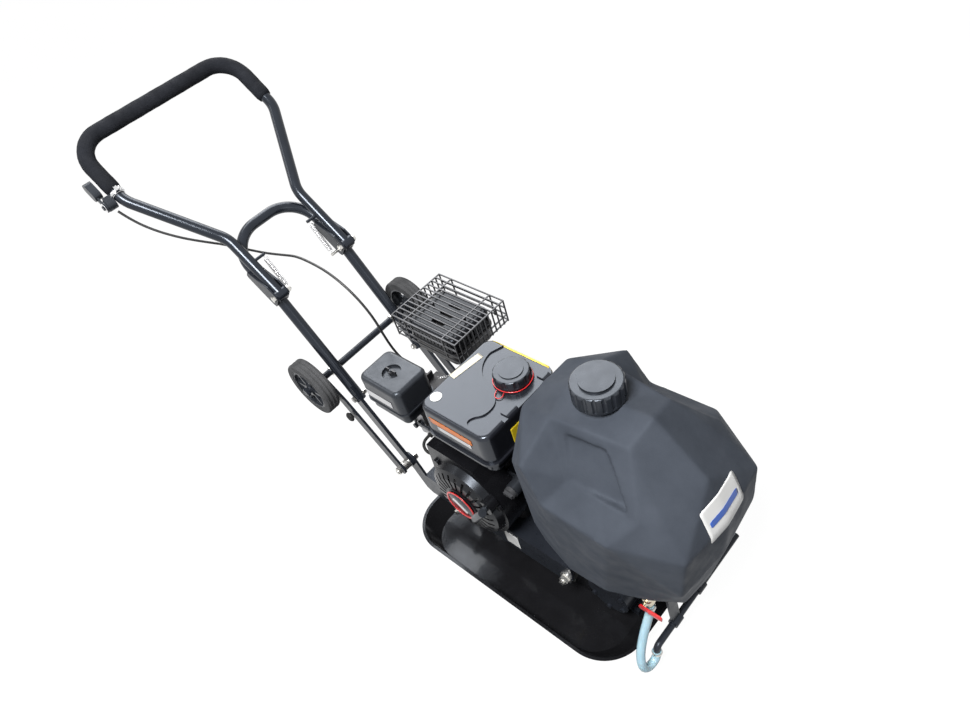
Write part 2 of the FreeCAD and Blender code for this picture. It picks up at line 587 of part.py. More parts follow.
def pressed_step():
    """Lower part of the tank's top: a step winds past the cap to the near side and leaves two bosses."""
    z = FUEL_TOP - FUEL_STEP
    winding = [(-134, 74), (-124, 38), (-104, 16), (-76, 2), (-52, -8), (-36, -23), (-31, -42),
               (-36, -62), (-48, -76), (-50, -88), (-40, -95), (-22, -94), (-10, -84)]
    curve = Part.BSplineCurve()
    curve.interpolate([V(x, y, z) for x, y in winding])
    x1, y1 = FUEL_X[1] + 2, FUEL_Y[1] + 2
    rest = [winding[-1], (-10, -58), (-4, -51), (x1, -51), (x1, y1), (-120, y1), winding[0]]
    edges = [curve.toShape(), Part.makePolygon([V(x, y, z) for x, y in rest])]
    face = Part.Face(Part.Wire([edges[0]] + edges[1].Edges))
    low = face.extrude(V(0, 0, FUEL_STEP + 1))
    bosses = [rounded_block(-13, x1 + 1, -38, -9, z - 1, z + 6, 5),
              rounded_block(-12, x1 + 1, 70, 90, z - 1, z + 6, 5)]
    return low.cut(group(bosses))


def fuel_tank():
    """Two pressed halves welded together at the seam."""
    top = fuel_shell(FUEL_SEAM, FUEL_TOP)
    top = top.makeFillet(9, [e for e in top.Edges if abs(e.CenterOfMass.z - FUEL_TOP) < 0.01])
    low = fuel_shell(FUEL_BOTTOM, FUEL_SEAM, -4)
    low = low.makeFillet(12, [e for e in low.Edges if abs(e.CenterOfMass.z - FUEL_BOTTOM) < 0.01])
    seam = fuel_shell(FUEL_SEAM - 3, FUEL_SEAM + 3, 5)
    cx, cy = FUEL_CAP_XY
    neck = upright(cx, cy, 27, FUEL_TOP - 4, FUEL_TOP + 8)
    hollow = fuel_shell(FUEL_BOTTOM + 8, FUEL_TOP - 9, -9)
    mouth = upright(cx, cy, 22, FUEL_TOP - 20, FUEL_TOP + 9)
    return cut(fuse([top.cut(pressed_step()), low, seam, neck]), [hollow, mouth])


def knurled_cap(x, y, radius, z0, z1, lobes, lobe_r, top_step):
    cap = upright(x, y, radius, z0, z1)
    cap = cap.makeFillet(4, [e for e in cap.Edges if abs(e.CenterOfMass.z - z1) < 0.01])
    scallops = []
    for i in range(lobes):
        a = 2 * math.pi * i / lobes
        scallops.append(upright(x + (radius + lobe_r * 0.55) * math.cos(a),
                                y + (radius + lobe_r * 0.55) * math.sin(a), lobe_r, z0 + 3, z1 + 1))
    crown = upright(x, y, radius * 0.66, z1 - 1, z1 + top_step)
    return fuse([cut(cap, scallops), crown])


def fuel_cap():
    x, y = FUEL_CAP_XY
    cap = knurled_cap(x, y, FUEL_CAP_R, FUEL_TOP + SOFT_GAP, FUEL_TOP + FUEL_CAP_HEIGHT, 10, 6.5, 2)
    return cap.cut(upright(x, y, 27.4, FUEL_TOP - 1, FUEL_TOP + 8 + SOFT_GAP))


# ---- intake and exhaust -----------------------------------------------------
CARB_X = (-268.0, -226.0)
CARB_Y = (-80.0, -34.0)
CARB_Z = (352.0, 396.0)


def carburettor():
    x0, x1 = CARB_X
    y0, y1 = CARB_Y
    z0, z1 = CARB_Z
    body = box(x0, x1, y0, y1 - 8, z0 + 6, z1)
    port = along_y(x1 - 7, z0 + 8, 13, y1 - 14, CYL_NEAR_Y - SOFT_GAP)
    bowl = upright((x0 + x1) / 2, (y0 + y1) / 2 - 6, 17, z0 - 24, z0 + 8)
    horn = upright((x0 + x1) / 2, (y0 + y1) / 2 - 6, 18, z1 - 2, CLEANER_LOW)
    plate = box(x0 - 6, x1 + 22, y1 - 14, y1 - 11, z1 - 4, z1 + 4)
    return fuse([body, port, bowl, horn, plate])


def choke_lever():
    x, z = CARB_X[0] + 10, CARB_Z[1] - 12
    y = CARB_Y[0] - SOFT_GAP
    hub = along_y(x, z, 6, y - 4, y)
    arm = box(x - 3, x + 3, y - 4, y - 1, z - 34, z)
    knob = along_y(x, z - 34, 6, y - 9, y - 1)
    return fuse([hub, arm, knob])


def fuel_valve_lever():
    x, z = CARB_X[1] - 12, CARB_Z[0] + 14
    y = CARB_Y[0] - SOFT_GAP
    hub = along_y(x, z, 8, y - 7, y)
    arm = box(x, x + 28, y - 7, y - 3, z - 4, z + 4)
    return fuse([hub, arm])


def air_cleaner_base():
    x0, x1 = CLEANER_X
    y0, y1 = CLEANER_Y
    pan = rounded_block(x0 + 4, x1 - 4, y0 + 4, y1 - 4, CLEANER_LOW, CLEANER_SEAM, 14)
    pan = pan.makeFillet(12, [e for e in pan.Edges if abs(e.CenterOfMass.z - CLEANER_LOW) < 0.01])
    lip = rounded_block(x0 - 2, x1 + 2, y0 - 2, y1 + 2, CLEANER_SEAM - 4, CLEANER_SEAM, 19)
    hollow = rounded_block(x0 + 8, x1 - 8, y0 + 8, y1 - 8, CLEANER_LOW + 5, CLEANER_SEAM + 1, 10)
    stud = upright((x0 + x1) / 2, (y0 + y1) / 2, 3, CLEANER_LOW + 2, CLEANER_TOP + 6)
    return fuse([pan.cut(hollow), lip.cut(hollow), stud])


def air_cleaner_cover():
    x0, x1 = CLEANER_X
    y0, y1 = CLEANER_Y
    body = rounded_block(x0, x1, y0, y1, CLEANER_SEAM, CLEANER_TOP, 17)
    top = [e for e in body.Edges if abs(e.CenterOfMass.z - CLEANER_TOP) < 0.01]
    body = body.makeFillet(10, top)
    hollow = rounded_block(x0 + 2.5, x1 - 2.5, y0 + 2.5, y1 - 2.5, CLEANER_SEAM - 1, CLEANER_TOP - 12, 14)
    cx, cy = (x0 + x1) / 2, (y0 + y1) / 2
    dish = upright(cx, cy, 21, CLEANER_TOP - 6, CLEANER_TOP + 1)
    return cut(body, [hollow, dish, upright(cx, cy, 3.4, 400, 600)])


def wing_nut():
    cx, cy = sum(CLEANER_X) / 2, sum(CLEANER_Y) / 2
    z = CLEANER_TOP - 6 + SOFT_GAP
    hub = upright(cx, cy, 6, z, z + 8)
    wings = [box(cx + 4, cx + 15, cy - 1.5, cy + 1.5, z + 1, z + 13),
             box(cx - 15, cx - 4, cy - 1.5, cy + 1.5, z + 1, z + 13)]
    return cut(fuse([hub] + wings), [upright(cx, cy, 3 + RUNNING_GAP, 400, 600)])


GOVERNOR_PIVOT = V(-214.0, -6.0, 424.0)


def governor_bracket():
    """Control plate above the barrel that holds the end of the throttle cable."""
    p = GOVERNOR_PIVOT
    plate = box(p.x - 52, p.x + 14, p.y - 26, p.y + 22, p.z - 4, p.z - 1)
    leg = box(p.x - 6, p.x + 6, p.y - 4, p.y + 4, 330, p.z - 3)
    clip = box(p.x - 52, p.x - 48, p.y - 8, p.y + 10, p.z - 4, p.z + 14)
    fins = tilted_block(40, HEAD_START + HEAD_LENGTH, 56, CYL_NEAR_Y, CYL_FAR_Y)
    case = box(CASE_REAR, 200, -200, 200, 0, CASE_TOP)
    return cut(fuse([plate, leg, clip]), [fins, case])


def governor_lever():
    p = GOVERNOR_PIVOT
    hub = upright(p.x, p.y, 6, p.z - 1 + SOFT_GAP, p.z + 5)
    arm = box(p.x - 4, p.x + 4, p.y, p.y + 26, p.z + 1, p.z + 4)
    return fuse([hub, arm])


def muffler():
    """Pressed box of two halves with a seam, and its pipe to the head."""
    x0, x1 = MUFFLER_X
    y0, y1 = MUFFLER_Y
    lower = rounded_block(x0 + 3, x1 - 3, y0 + 3, y1 - 3, MUFFLER_LOW, MUFFLER_SEAM, 20)
    lower = lower.makeFillet(10, [e for e in lower.Edges if abs(e.CenterOfMass.z - MUFFLER_LOW) < 0.01])
    seam = rounded_block(x0 - 3, x1 + 3, y0 - 3, y1 + 3, MUFFLER_SEAM - 3, MUFFLER_SEAM, 25)
    upper = rounded_block(x0 + 8, x1 - 8, y0 + 8, y1 - 8, MUFFLER_SEAM - 1, MUFFLER_TOP - 14, 16)
    y_port = CYL_FAR_Y + SOFT_GAP
    pipe = sweep([V(-232, y_port, 354), V(-232, 98, 354), V(-264, 98, 378), V(-264, 98, MUFFLER_LOW + 2)],
                 [15, 15], 12)
    port = along_y(-232, 354, 18, y_port, y_port + 6)
    tail = along_y(x0 + 30, MUFFLER_LOW + 22, 9, y1 - 6, y1 + 14)
    return fuse([lower, seam, upper, pipe, port, tail])


def muffler_shield():
    """Louvred heat shield over the muffler."""
    x0, x1 = MUFFLER_X
    y0, y1 = MUFFLER_Y
    body = rounded_block(x0, x1, y0, y1, MUFFLER_SEAM, MUFFLER_TOP, 20)
    edge = min(SHIELD_EDGE, 0.45 * (MUFFLER_TOP - MUFFLER_SEAM))
    body = body.makeFillet(edge, [e for e in body.Edges if abs(e.CenterOfMass.z - MUFFLER_TOP) < 0.01])
    hollow = rounded_block(x0 + SHEET, x1 - SHEET, y0 + SHEET, y1 - SHEET, MUFFLER_SEAM - 1,
                           MUFFLER_TOP - 9, 18)
    slots = []
    for i in range(11):
        x = x0 + 22 + 11 * i
        slots.append(box(x - 2, x + 2, y0 - 5, y1 + 5, MUFFLER_SEAM + 8, MUFFLER_TOP - 12))
    for i in range(9):
        y = y0 + 20 + 11 * i
        slots.append(box(x0 - 5, x1 + 5, y - 2, y + 2, MUFFLER_SEAM + 8, MUFFLER_TOP - 12))
    cx, cy = (x0 + x1) / 2, (y0 + y1) / 2
    for dy in (-28, 0, 28):
        slots.append(rounded_block(cx - 20, cx + 20, cy + dy - 5, cy + dy + 5, MUFFLER_TOP - 20,
                                   MUFFLER_TOP + 5, 4.9))
    studs = [upright(x, y, 4, MUFFLER_SEAM + 10, MUFFLER_TOP - 5)
             for x in (x0 + 24, x1 - 24) for y in (y0 + 24, y1 - 24)]
    seat = rounded_block(x0 + 8, x1 - 8, y0 + 8, y1 - 8, MUFFLER_SEAM - 1, MUFFLER_TOP - 14, 16)
    return fuse([cut(body, [hollow] + slots)] + [s.cut(seat) for s in studs])


CAGE_X = (-424.0, -222.0)
CAGE_Y = (54.0, 211.0)
CAGE_DROP = 60.0


def wire_cage():
    """Welded mesh that hoods the muffler: open below, with three hanging sides."""
    w = CAGE_WIRE / 2
    top = MUFFLER_TOP + CAGE_GAP
    x0, x1 = CAGE_X
    y0, y1 = CAGE_Y
    bars = []
    count = 13
    for i in range(count):
        y = y0 + (y1 - y0) * i / (count - 1)
        bars.append(box(x0 - w, x1 + w, y - w, y + w, top - w, top + w))
        bars.append(box(x0 - w, x0 + w, y - w, y + w, top - CAGE_DROP, top))
        bars.append(box(x1 - w, x1 + w, y - w, y + w, top - CAGE_DROP, top))
    for share in (0.0, 0.2, 0.8, 1.0):
        x = x0 + (x1 - x0) * share
        bars.append(box(x - w, x + w, y0 - w, y1 + w, top - w, top + w))
        bars.append(box(x - w, x + w, y0 - w, y0 + w, top - CAGE_DROP, top))
        bars.append(box(x - w, x + w, y1 - w, y1 + w, top - CAGE_DROP, top))
    for drop in (20, 40, CAGE_DROP - 4):
        z = top - drop
        bars.append(box(x0 - w, x1 + w, y0 - w, y0 + w, z - w, z + w))
        bars.append(box(x0 - w, x1 + w, y1 - w, y1 + w, z - w, z + w))
        if drop != 20:
            bars.append(box(x0 - w, x0 + w, y0 - w, y1 + w, z - w, z + w))
            bars.append(box(x1 - w, x1 + w, y0 - w, y1 + w, z - w, z + w))
    stand = [upright(x, y, 3, MUFFLER_TOP + SOFT_GAP, top) for x, y in
             ((sum(MUFFLER_X) / 2 - 50, CAGE_Y[0] + 76), (sum(MUFFLER_X) / 2 + 50, CAGE_Y[0] + 76))]
    return fuse(bars + stand)


def oil_cap():
    seat = V(CASE_FRONT - 6, 30, DECK_TOP + 48) + V(1, 0, 0.8).normalize() * 26.0
    axis = V(1, 0, 0.8)
    disc = cyl(seat + axis.normalize() * SOFT_GAP, axis, 17, 8)
    wing = box(-4, 4, -14, 14, 0, 12)
    wing.Placement = FreeCAD.Placement(seat + axis * 8, FreeCAD.Rotation(Z_AXIS, axis))
    return fuse([disc, wing])


SWITCH_AT = V(16.0, -64.7, 322.0)


def engine_switch():
    """Round switch body on a bracket at the front of the fan cover."""
    p = SWITCH_AT
    body = along_y(p.x, p.z, 15, p.y - 24, p.y)
    return fuse([body, along_y(p.x, p.z, 17, p.y - 3, p.y + 3),
                 box(CASE_FRONT, p.x + 14, p.y + 3, p.y + 6, p.z - 12, p.z + 12),
                 box(CASE_FRONT, CASE_FRONT + 3, p.y + 3, p.y + 24, p.z - 12, p.z + 12)])


def switch_knob():
    p = SWITCH_AT
    disc = along_y(p.x, p.z, 13, p.y - 32, p.y - 24 - SOFT_GAP)
    bar = box(p.x - 11, p.x + 11, p.y - 38, p.y - 31, p.z - 3.5, p.z + 3.5)
    return fuse([disc, bar])


# ---- belt drive -------------------------------------------------------------
def clutch_hub():
    """Hub, three shoes and garter spring keyed to the crankshaft."""
    x, z = CRANK_X, CRANK_Z
    y0, y1 = BELT_MID_Y - 12, BELT_MID_Y + 14
    hub = along_y(x, z, 20, y0, y1)
    shoes = []
    for i in range(3):
        sector = ring_y(x, z, DRUM_INNER_R - 1.5, 24, y0 + 1, y1 - 2)
        wedge = Part.Face(Part.makePolygon([V(x, 0, z), V(x + 90, 0, z - 62), V(x + 90, 0, z + 62),
                                            V(x, 0, z)])).extrude(V(0, 300, 0))
        shoe = sector.common(wedge)
        key = box(x + 15, x + 26, y0 + 1, y1 - 2, z - 5, z + 5)
        shoe = fuse([shoe, key])
        shoe.rotate(V(x, 0, z), Y_AXIS, 120 * i + 20)
        shoes.append(shoe)
    return fuse([hub] + shoes).cut(along_y(x, z, CRANK_R, 0, 300))


def clutch_drum():
    x, z, w = CRANK_X, CRANK_Z, DRUM_WIDTH / 2
    y0, y1 = BELT_MID_Y - w, BELT_MID_Y + w
    rim = ring_y(x, z, DRUM_R, DRUM_INNER_R, y0, y1)
    wall = along_y(x, z, DRUM_R - 1, y0, y0 + 3)
    hub = along_y(x, z, 17, y0 - 12, y0 + 3)
    bore = along_y(x, z, CRANK_R + RUNNING_GAP, 0, 300)
    return cut(fuse([rim, wall, hub]), [bore, belt_groove(x, z, DRUM_R)])


def loop_face(r1, r2, y):
    """Face of the taut loop around circles r1 at the clutch and r2 at the exciter."""
    c1, c2 = V(CRANK_X, y, CRANK_Z), V(EXCITER_X, y, EXCITER_Z)
    span = c2 - c1
    base = math.atan2(span.z, span.x)
    lean = math.acos((r1 - r2) / span.Length)

    def at(c, r, a):
        return V(c.x + r * math.cos(a), y, c.z + r * math.sin(a))
    a_up, a_down = base + lean, base - lean
    arc1 = Part.Arc(at(c1, r1, a_up), at(c1, r1, base + math.pi), at(c1, r1, a_down)).toShape()
    arc2 = Part.Arc(at(c2, r2, a_down), at(c2, r2, base), at(c2, r2, a_up)).toShape()
    line1 = Part.makeLine(at(c1, r1, a_down), at(c2, r2, a_down))
    line2 = Part.makeLine(at(c2, r2, a_up), at(c1, r1, a_up))
    return Part.Face(Part.Wire([arc1, line1, arc2, line2]))


def drive_belt():
    half = BELT_WIDTH / 2
    outer = loop_face(DRUM_R, PULLEY_R, BELT_MID_Y - half).extrude(V(0, BELT_WIDTH, 0))
    inner = loop_face(DRUM_R - BELT_DEPTH, PULLEY_R - BELT_DEPTH, BELT_MID_Y - half - 1)
    ring = outer.cut(inner.extrude(V(0, BELT_WIDTH + 2, 0)))
    wide = outer_edge_bevel()
    return cut(ring, wide)


def outer_edge_bevel():
    """Wedges that give the belt its V section where it lies in the two grooves."""
    tools = []
    for x, z, r in ((CRANK_X, CRANK_Z, DRUM_R), (EXCITER_X, EXCITER_Z, PULLEY_R)):
        wheel = along_y(x, z, r, BELT_MID_Y - BELT_WIDTH, BELT_MID_Y + BELT_WIDTH)
        tools.append(wheel.cut(belt_groove(x, z, r, 0.1)))
    return tools


def guard_face(grow, y):
    return loop_face(GUARD_UPPER_R + grow, GUARD_LOWER_R + grow, y)


def belt_guard():
    outer = guard_face(0, GUARD_INNER_Y).extrude(V(0, GUARD_OUTER_Y - GUARD_INNER_Y, 0))
    outer = outer.makeFillet(12, [e for e in outer.Edges
                                  if abs(e.CenterOfMass.y - GUARD_OUTER_Y) < 0.01])
    inner = guard_face(-SHEET, GUARD_INNER_Y - 1).extrude(V(0, GUARD_OUTER_Y - GUARD_INNER_Y - 5, 0))
    floor = box(EXCITER_X - 150, EXCITER_X + 150, 0, 300, -10, PLATE_FLOOR + 4)
    slots = []
    for i in range(5):
        z = CRANK_Z + 50 - 12 * i
        slots.append(box(CRANK_X - 30, CRANK_X + 30, GUARD_OUTER_Y - 20, GUARD_OUTER_Y + 1, z, z + 5))
    foot = fuse([box(CRANK_X - 30, CRANK_X + 30, DECK_HALF_WIDTH, GUARD_INNER_Y + 12, DECK_TOP - 22,
                     DECK_TOP - 19),
                 box(CRANK_X - 30, CRANK_X + 30, DECK_HALF_WIDTH, DECK_HALF_WIDTH + 3, DECK_TOP - 40,
                     DECK_TOP - 19),
                 box(CRANK_X - 30, CRANK_X + 30, GUARD_INNER_Y + 9, GUARD_INNER_Y + 12, DECK_TOP - 22,
                     CRANK_Z - GUARD_UPPER_R + 3)])
    return cut(fuse([outer, foot]), [inner, floor] + slots)


# ---- water tank -------------------------------------------------------------
# Corners of the faceted tank: along the middle, then on the near side.
CREST_REAR, CREST_STEP = V(88, 0, 602), V(150, 0, 628)
CREST_MID, CREST_FRONT = V(314, 0, TANK_RIDGE), V(405, 0, 552)
NOSE, NOSE_LOW = V(TANK_FRONT, 0, 465), V(430, 0, 366)
SOLE_REAR, SOLE_MID, SOLE_FRONT = V(100, 0, TANK_LOW), V(250, 0, TANK_LOW), V(396, 0, TANK_LOW)
REAR_MID = V(TANK_REAR, 0, 420)
REAR_TOP, BROW_REAR, BROW_MID = V(88, -60, 598), V(160, -70, 622), V(305, -55, 622)
BROW_FRONT, HORN, REAR_SIDE = V(386, -94, 518), V(147, -146, 565), V(TANK_REAR, -115, 500)
SHELF_REAR, SHELF_FRONT = V(211, -110, 530), V(350, -114, 530)
WAIST_REAR, WAIST_FRONT = V(183, -154, 490), V(316, -157, 490)
CHEEK, CHIN, REAR_LOW = V(425, -105, 465), V(417, -110, 366), V(88, -112, 300)
FOOT = [V(100, -108, TANK_LOW), V(180, -130, TANK_LOW), V(258, -128, TANK_LOW),
        V(330, -100, TANK_LOW), V(388, -65, TANK_LOW)]
FAR_SWELL = 1.1            # the far half stands a little further out than the near half
TANK_MIDDLE = V(250, 0, 430)


def tank_triangles():
    """Facets of the near half, each a triple of corners."""
    return [
        (CREST_REAR, REAR_TOP, BROW_REAR), (CREST_REAR, BROW_REAR, CREST_STEP),
        (CREST_STEP, BROW_REAR, BROW_MID), (CREST_STEP, BROW_MID, CREST_MID),
        (REAR_TOP, REAR_SIDE, HORN), (REAR_TOP, HORN, BROW_REAR),
        (BROW_REAR, HORN, SHELF_REAR), (HORN, WAIST_REAR, SHELF_REAR),
        (REAR_SIDE, WAIST_REAR, HORN),
        (BROW_REAR, SHELF_REAR, BROW_MID), (SHELF_REAR, SHELF_FRONT, BROW_MID),
        (SHELF_FRONT, BROW_FRONT, BROW_MID),
        (SHELF_REAR, WAIST_REAR, WAIST_FRONT), (SHELF_REAR, WAIST_FRONT, SHELF_FRONT),
        (SHELF_FRONT, WAIST_FRONT, CHEEK), (SHELF_FRONT, CHEEK, BROW_FRONT),
        (CREST_MID, BROW_MID, BROW_FRONT), (CREST_MID, BROW_FRONT, CREST_FRONT),
        (CREST_FRONT, BROW_FRONT, CHEEK), (CREST_FRONT, CHEEK, NOSE),
        (NOSE, CHEEK, CHIN), (NOSE, CHIN, NOSE_LOW),
        (NOSE_LOW, CHIN, FOOT[4]), (NOSE_LOW, FOOT[4], SOLE_FRONT),
        (REAR_SIDE, REAR_LOW, WAIST_REAR), (REAR_LOW, FOOT[0], FOOT[1]),
        (REAR_LOW, FOOT[1], WAIST_REAR), (WAIST_REAR, FOOT[1], WAIST_FRONT),
        (FOOT[1], FOOT[2], WAIST_FRONT), (WAIST_FRONT, FOOT[2], FOOT[3]),
        (WAIST_FRONT, FOOT[3], CHIN), (WAIST_FRONT, CHIN, CHEEK), (CHIN, FOOT[3], FOOT[4]),
        (REAR_MID, REAR_TOP, CREST_REAR), (REAR_MID, REAR_SIDE, REAR_TOP),
        (REAR_MID, REAR_LOW, REAR_SIDE), (REAR_MID, FOOT[0], REAR_LOW), (REAR_MID, SOLE_REAR, FOOT[0]),
        (SOLE_MID, FOOT[0], SOLE_REAR), (SOLE_MID, FOOT[1], FOOT[0]), (SOLE_MID, FOOT[2], FOOT[1]),
        (SOLE_MID, FOOT[3], FOOT[2]), (SOLE_MID, FOOT[4], FOOT[3]), (SOLE_MID, SOLE_FRONT, FOOT[4])]


def closed_solid(triangles):
    faces = [Part.Face(Part.makePolygon([a, b, c, a])) for a, b, c in triangles]
    shell = Part.makeShell(faces)
    shell.sewShape()
    solid = Part.makeSolid(shell)
    return solid if solid.Volume > 0 else solid.reversed()


def far_corner(p):
    return V(p.x, -p.y * FAR_SWELL, p.z)


def panel_recess(corner):
    """Wedge that sinks the side panel, deep at its upper and front edges."""
    a, b, c = [corner(p) for p in (BROW_REAR, BROW_MID, SHELF_REAR)]
    out = (b - a).cross(c - a).normalize()
    if out.dot(a - TANK_MIDDLE) < 0:
        out = out * -1
    spots = [((0.164, 0.176), 8.0), ((0.679, 0.18), 8.0), ((0.80, 1.03), 6.0), ((0.04, 0.98), 1.0)]
    rim = [a + (b - a) * u + (c - a) * v for (u, v), depth in spots]
    top = [p + out * 14 for p in rim]
    low = [p - out * depth for p, (uv, depth) in zip(rim, spots)]
    tris = [(top[0], top[1], top[2]), (top[0], top[2], top[3]), (low[0], low[2], low[1]),
            (low[0], low[3], low[2])]
    for i in range(4):
        k = (i + 1) % 4
        tris += [(top[i], low[i], low[k]), (top[i], low[k], top[k])]
    return closed_solid(tris)


def tank_form():
    near = tank_triangles()
    far = [tuple(far_corner(p) for p in reversed(t)) for t in near]
    return closed_solid(near + far)


def water_tank():
    body = tank_form()
    hollow = body.copy()
    hollow.scale(TANK_WALL_SHARE, TANK_MIDDLE)
    outer = body.cut(panel_recess(lambda p: p)).cut(panel_recess(far_corner))
    neck = upright(WATER_CAP_X, 0, 34, TANK_RIDGE - 24, TANK_RIDGE + 8)
    spout = upright(VALVE_XY[0], VALVE_XY[1], 10, TANK_LOW - 6, TANK_LOW + 6)
    inner = hollow.cut(group([grown_recess(lambda p: p), grown_recess(far_corner)]))
    guard_relief = box(95, 112, 118, 130, 228, 243.5)
    return cut(fuse([outer, neck, spout]), [inner, guard_relief])


def grown_recess(corner):
    """The panel recess moved inwards, so that the wall keeps its thickness behind it."""
    wedge = panel_recess(corner)
    inward = (TANK_MIDDLE - corner(BROW_MID)).normalize()
    wedge.translate(V(0, inward.y * 10, inward.z * 10))
    return wedge


def water_cap():
    cap = knurled_cap(WATER_CAP_X, 0, WATER_CAP_R, TANK_RIDGE - 4, WATER_CAP_TOP - 4, 18, 5, 4)
    clearance = upright(WATER_CAP_X, 0, 34 + 0.4, 600, TANK_RIDGE + 8 + SOFT_GAP)
    return cap.cut(clearance)


VALVE_XY = (322.0, -84.0)


def tank_bracket():
    """Folded tray on two legs that stands on the deck and carries the water tank."""
    tray = box(96, 352, -62, 62, TANK_LOW - 4, TANK_LOW)
    sides = [s for y in (-62, 58) for s in [box(96, 352, y, y + 4, TANK_LOW - 22, TANK_LOW)]]
    legs = both_sides(polygon_y([(98, DECK_TOP), (134, DECK_TOP), (180, TANK_LOW - 2), (98, TANK_LOW - 2)],
                                54, 58))
    feet = both_sides(box(98, 134, 54, 84, DECK_TOP, DECK_TOP + 4))
    strap = [box(128, 134, -56, 56, DECK_TOP + 20, TANK_LOW - 20)]
    drops = []
    for y in SPRAY_BRACKET_Y:
        drop = polygon_y([(330, TANK_LOW - 3), (336, TANK_LOW - 3), (349, SPRAY_Z), (343, SPRAY_Z)],
                         y - 12, y + 12)
        drops += [drop, along_y(SPRAY_X, SPRAY_Z, SPRAY_R + 3.5, y - 12, y + 12)]
    holes = [upright(x, 0, 20, TANK_LOW - 10, TANK_LOW + 5) for x in (160, 230, 300)]
    bar = along_y(SPRAY_X, SPRAY_Z, SPRAY_R, -200, 200)
    return cut(fuse([tray] + sides + legs + feet + strap + drops), holes + [bar])


def ball_valve():
    x, y = VALVE_XY
    z = TANK_LOW - 6
    union = hexagon_z(x, y, 24, z - 10, z)
    body = upright(x, y, 11, z - 30, z - 8)
    ball = Part.makeSphere(13, V(x, y, z - 20))
    barb = upright(x, y, 6.4, HOSE_ROUTE[0].z + SOFT_GAP, z - 28)
    stem = along_y(x, z - 20, 5, y - 20, y - 10)
    return fuse([union, body, ball, barb, stem])


def valve_lever():
    x, y = VALVE_XY
    z = TANK_LOW - 26
    y0 = y - 20 - SOFT_GAP
    hub = along_y(x, z, 7, y0 - 3, y0)
    arm = box(x, x + 42, y0 - 3, y0, z - 6, z + 6)
    return fuse([hub, arm])


HOSE_ROUTE = [V(322, -84, 188), V(322, -84, 171), V(321, -92, 152), V(322, -108, 132),
              V(326, -127, 113), V(332, -144, 95), V(339, -154, 76), V(343, -151, 59),
              V(345, -138, 48), V(346, -121, 49), V(346, -112, 61), V(346, -112, 73)]


def water_hose():
    return cord("water_hose", HOSE_ROUTE, HOSE_R)


def sprinkler_tube():
    end = HOSE_ROUTE[-1] + V(0, 0, SOFT_GAP)
    run = [V(SPRAY_X, SPRAY_FAR_Y, SPRAY_Z), V(SPRAY_X, end.y, SPRAY_Z), end]
    bar = sweep(run, [12], SPRAY_R)
    holes = [cyl(V(SPRAY_X, y, SPRAY_Z - 12), Z_AXIS, 1.2, 12) for y in range(-80, 181, 26)]
    return bar.cut(group(holes))


# ---- handle -----------------------------------------------------------------
def lower_handle_tube():
    """U tube with a hoop at the top, welded to two flat feet that bolt to the deck."""
    legs = [TUBE_END + V(0, -TUBE_Y, 0), KNEE + V(0, -TUBE_Y, 0),
            KNEE + UPPER_DIR * HOOP_HEIGHT + V(0, -TUBE_Y, 0)]
    points = legs + [V(p.x, -p.y, p.z) for p in reversed(legs)]
    tube = sweep(points, [60, HOOP_CORNER, HOOP_CORNER, 60], TUBE_R)
    feet = []
    for side in (-1, 1):
        y0, y1 = DECK_HALF_WIDTH, DECK_HALF_WIDTH + 8
        w = LOWER_NORMAL * 15
        a, b = PIVOT, TUBE_END + LOWER_DIR * 40
        strip = polygon_y([((a - w).x, (a - w).z), ((a + w).x, (a + w).z),
                           ((b + w).x, (b + w).z), ((b - w).x, (b - w).z)], y0, y1)
        foot = fuse([strip, along_y(a.x, a.z, 15, y0, y1)])
        foot = foot.cut(along_y(a.x, a.z, MOUNT_BOLT_R, y0 - 1, y1 + 1))
        feet.append(foot if side > 0 else foot.mirror(ORIGIN, Y_AXIS))
    e = TUBE_END + LOWER_DIR * 10
    hole = along_y(e.x, e.z, MOUNT_BOLT_R - 2, -200, 200)
    bore = sweep(points, [60, HOOP_CORNER, HOOP_CORNER, 60], TUBE_R - TUBE_WALL)
    return fuse([tube] + feet).cut(hole).cut(bore)


def handle_bolts():
    """Pivot bolts with their bushes, and the bolts through the tube's lower ends."""
    y_foot = DECK_HALF_WIDTH + 8
    y_arm = ARM_Y + ARM_THICK
    e = TUBE_END + LOWER_DIR * 10
    far = [fuse([along_y(PIVOT.x, PIVOT.z, MOUNT_BOLT_R, 80, y_arm + 12),
                 hexagon_y(PIVOT.x, PIVOT.z, 19, 82, DECK_HALF_WIDTH - DECK_THICK),
                 ring_y(PIVOT.x, PIVOT.z, 12, MOUNT_BOLT_R, y_foot, ARM_Y - SOFT_GAP),
                 hexagon_y(PIVOT.x, PIVOT.z, 18, y_arm + SOFT_GAP, y_arm + 9)]),
           fuse([along_y(e.x, e.z, 4, TUBE_Y - TUBE_R - 8, TUBE_Y + TUBE_R + 6),
                 hexagon_y(e.x, e.z, 13, TUBE_Y + TUBE_R, TUBE_Y + TUBE_R + 6),
                 hexagon_y(e.x, e.z, 13, TUBE_Y - TUBE_R - 6, TUBE_Y - TUBE_R)])]
    return [s for b in far for s in both_sides(b)]


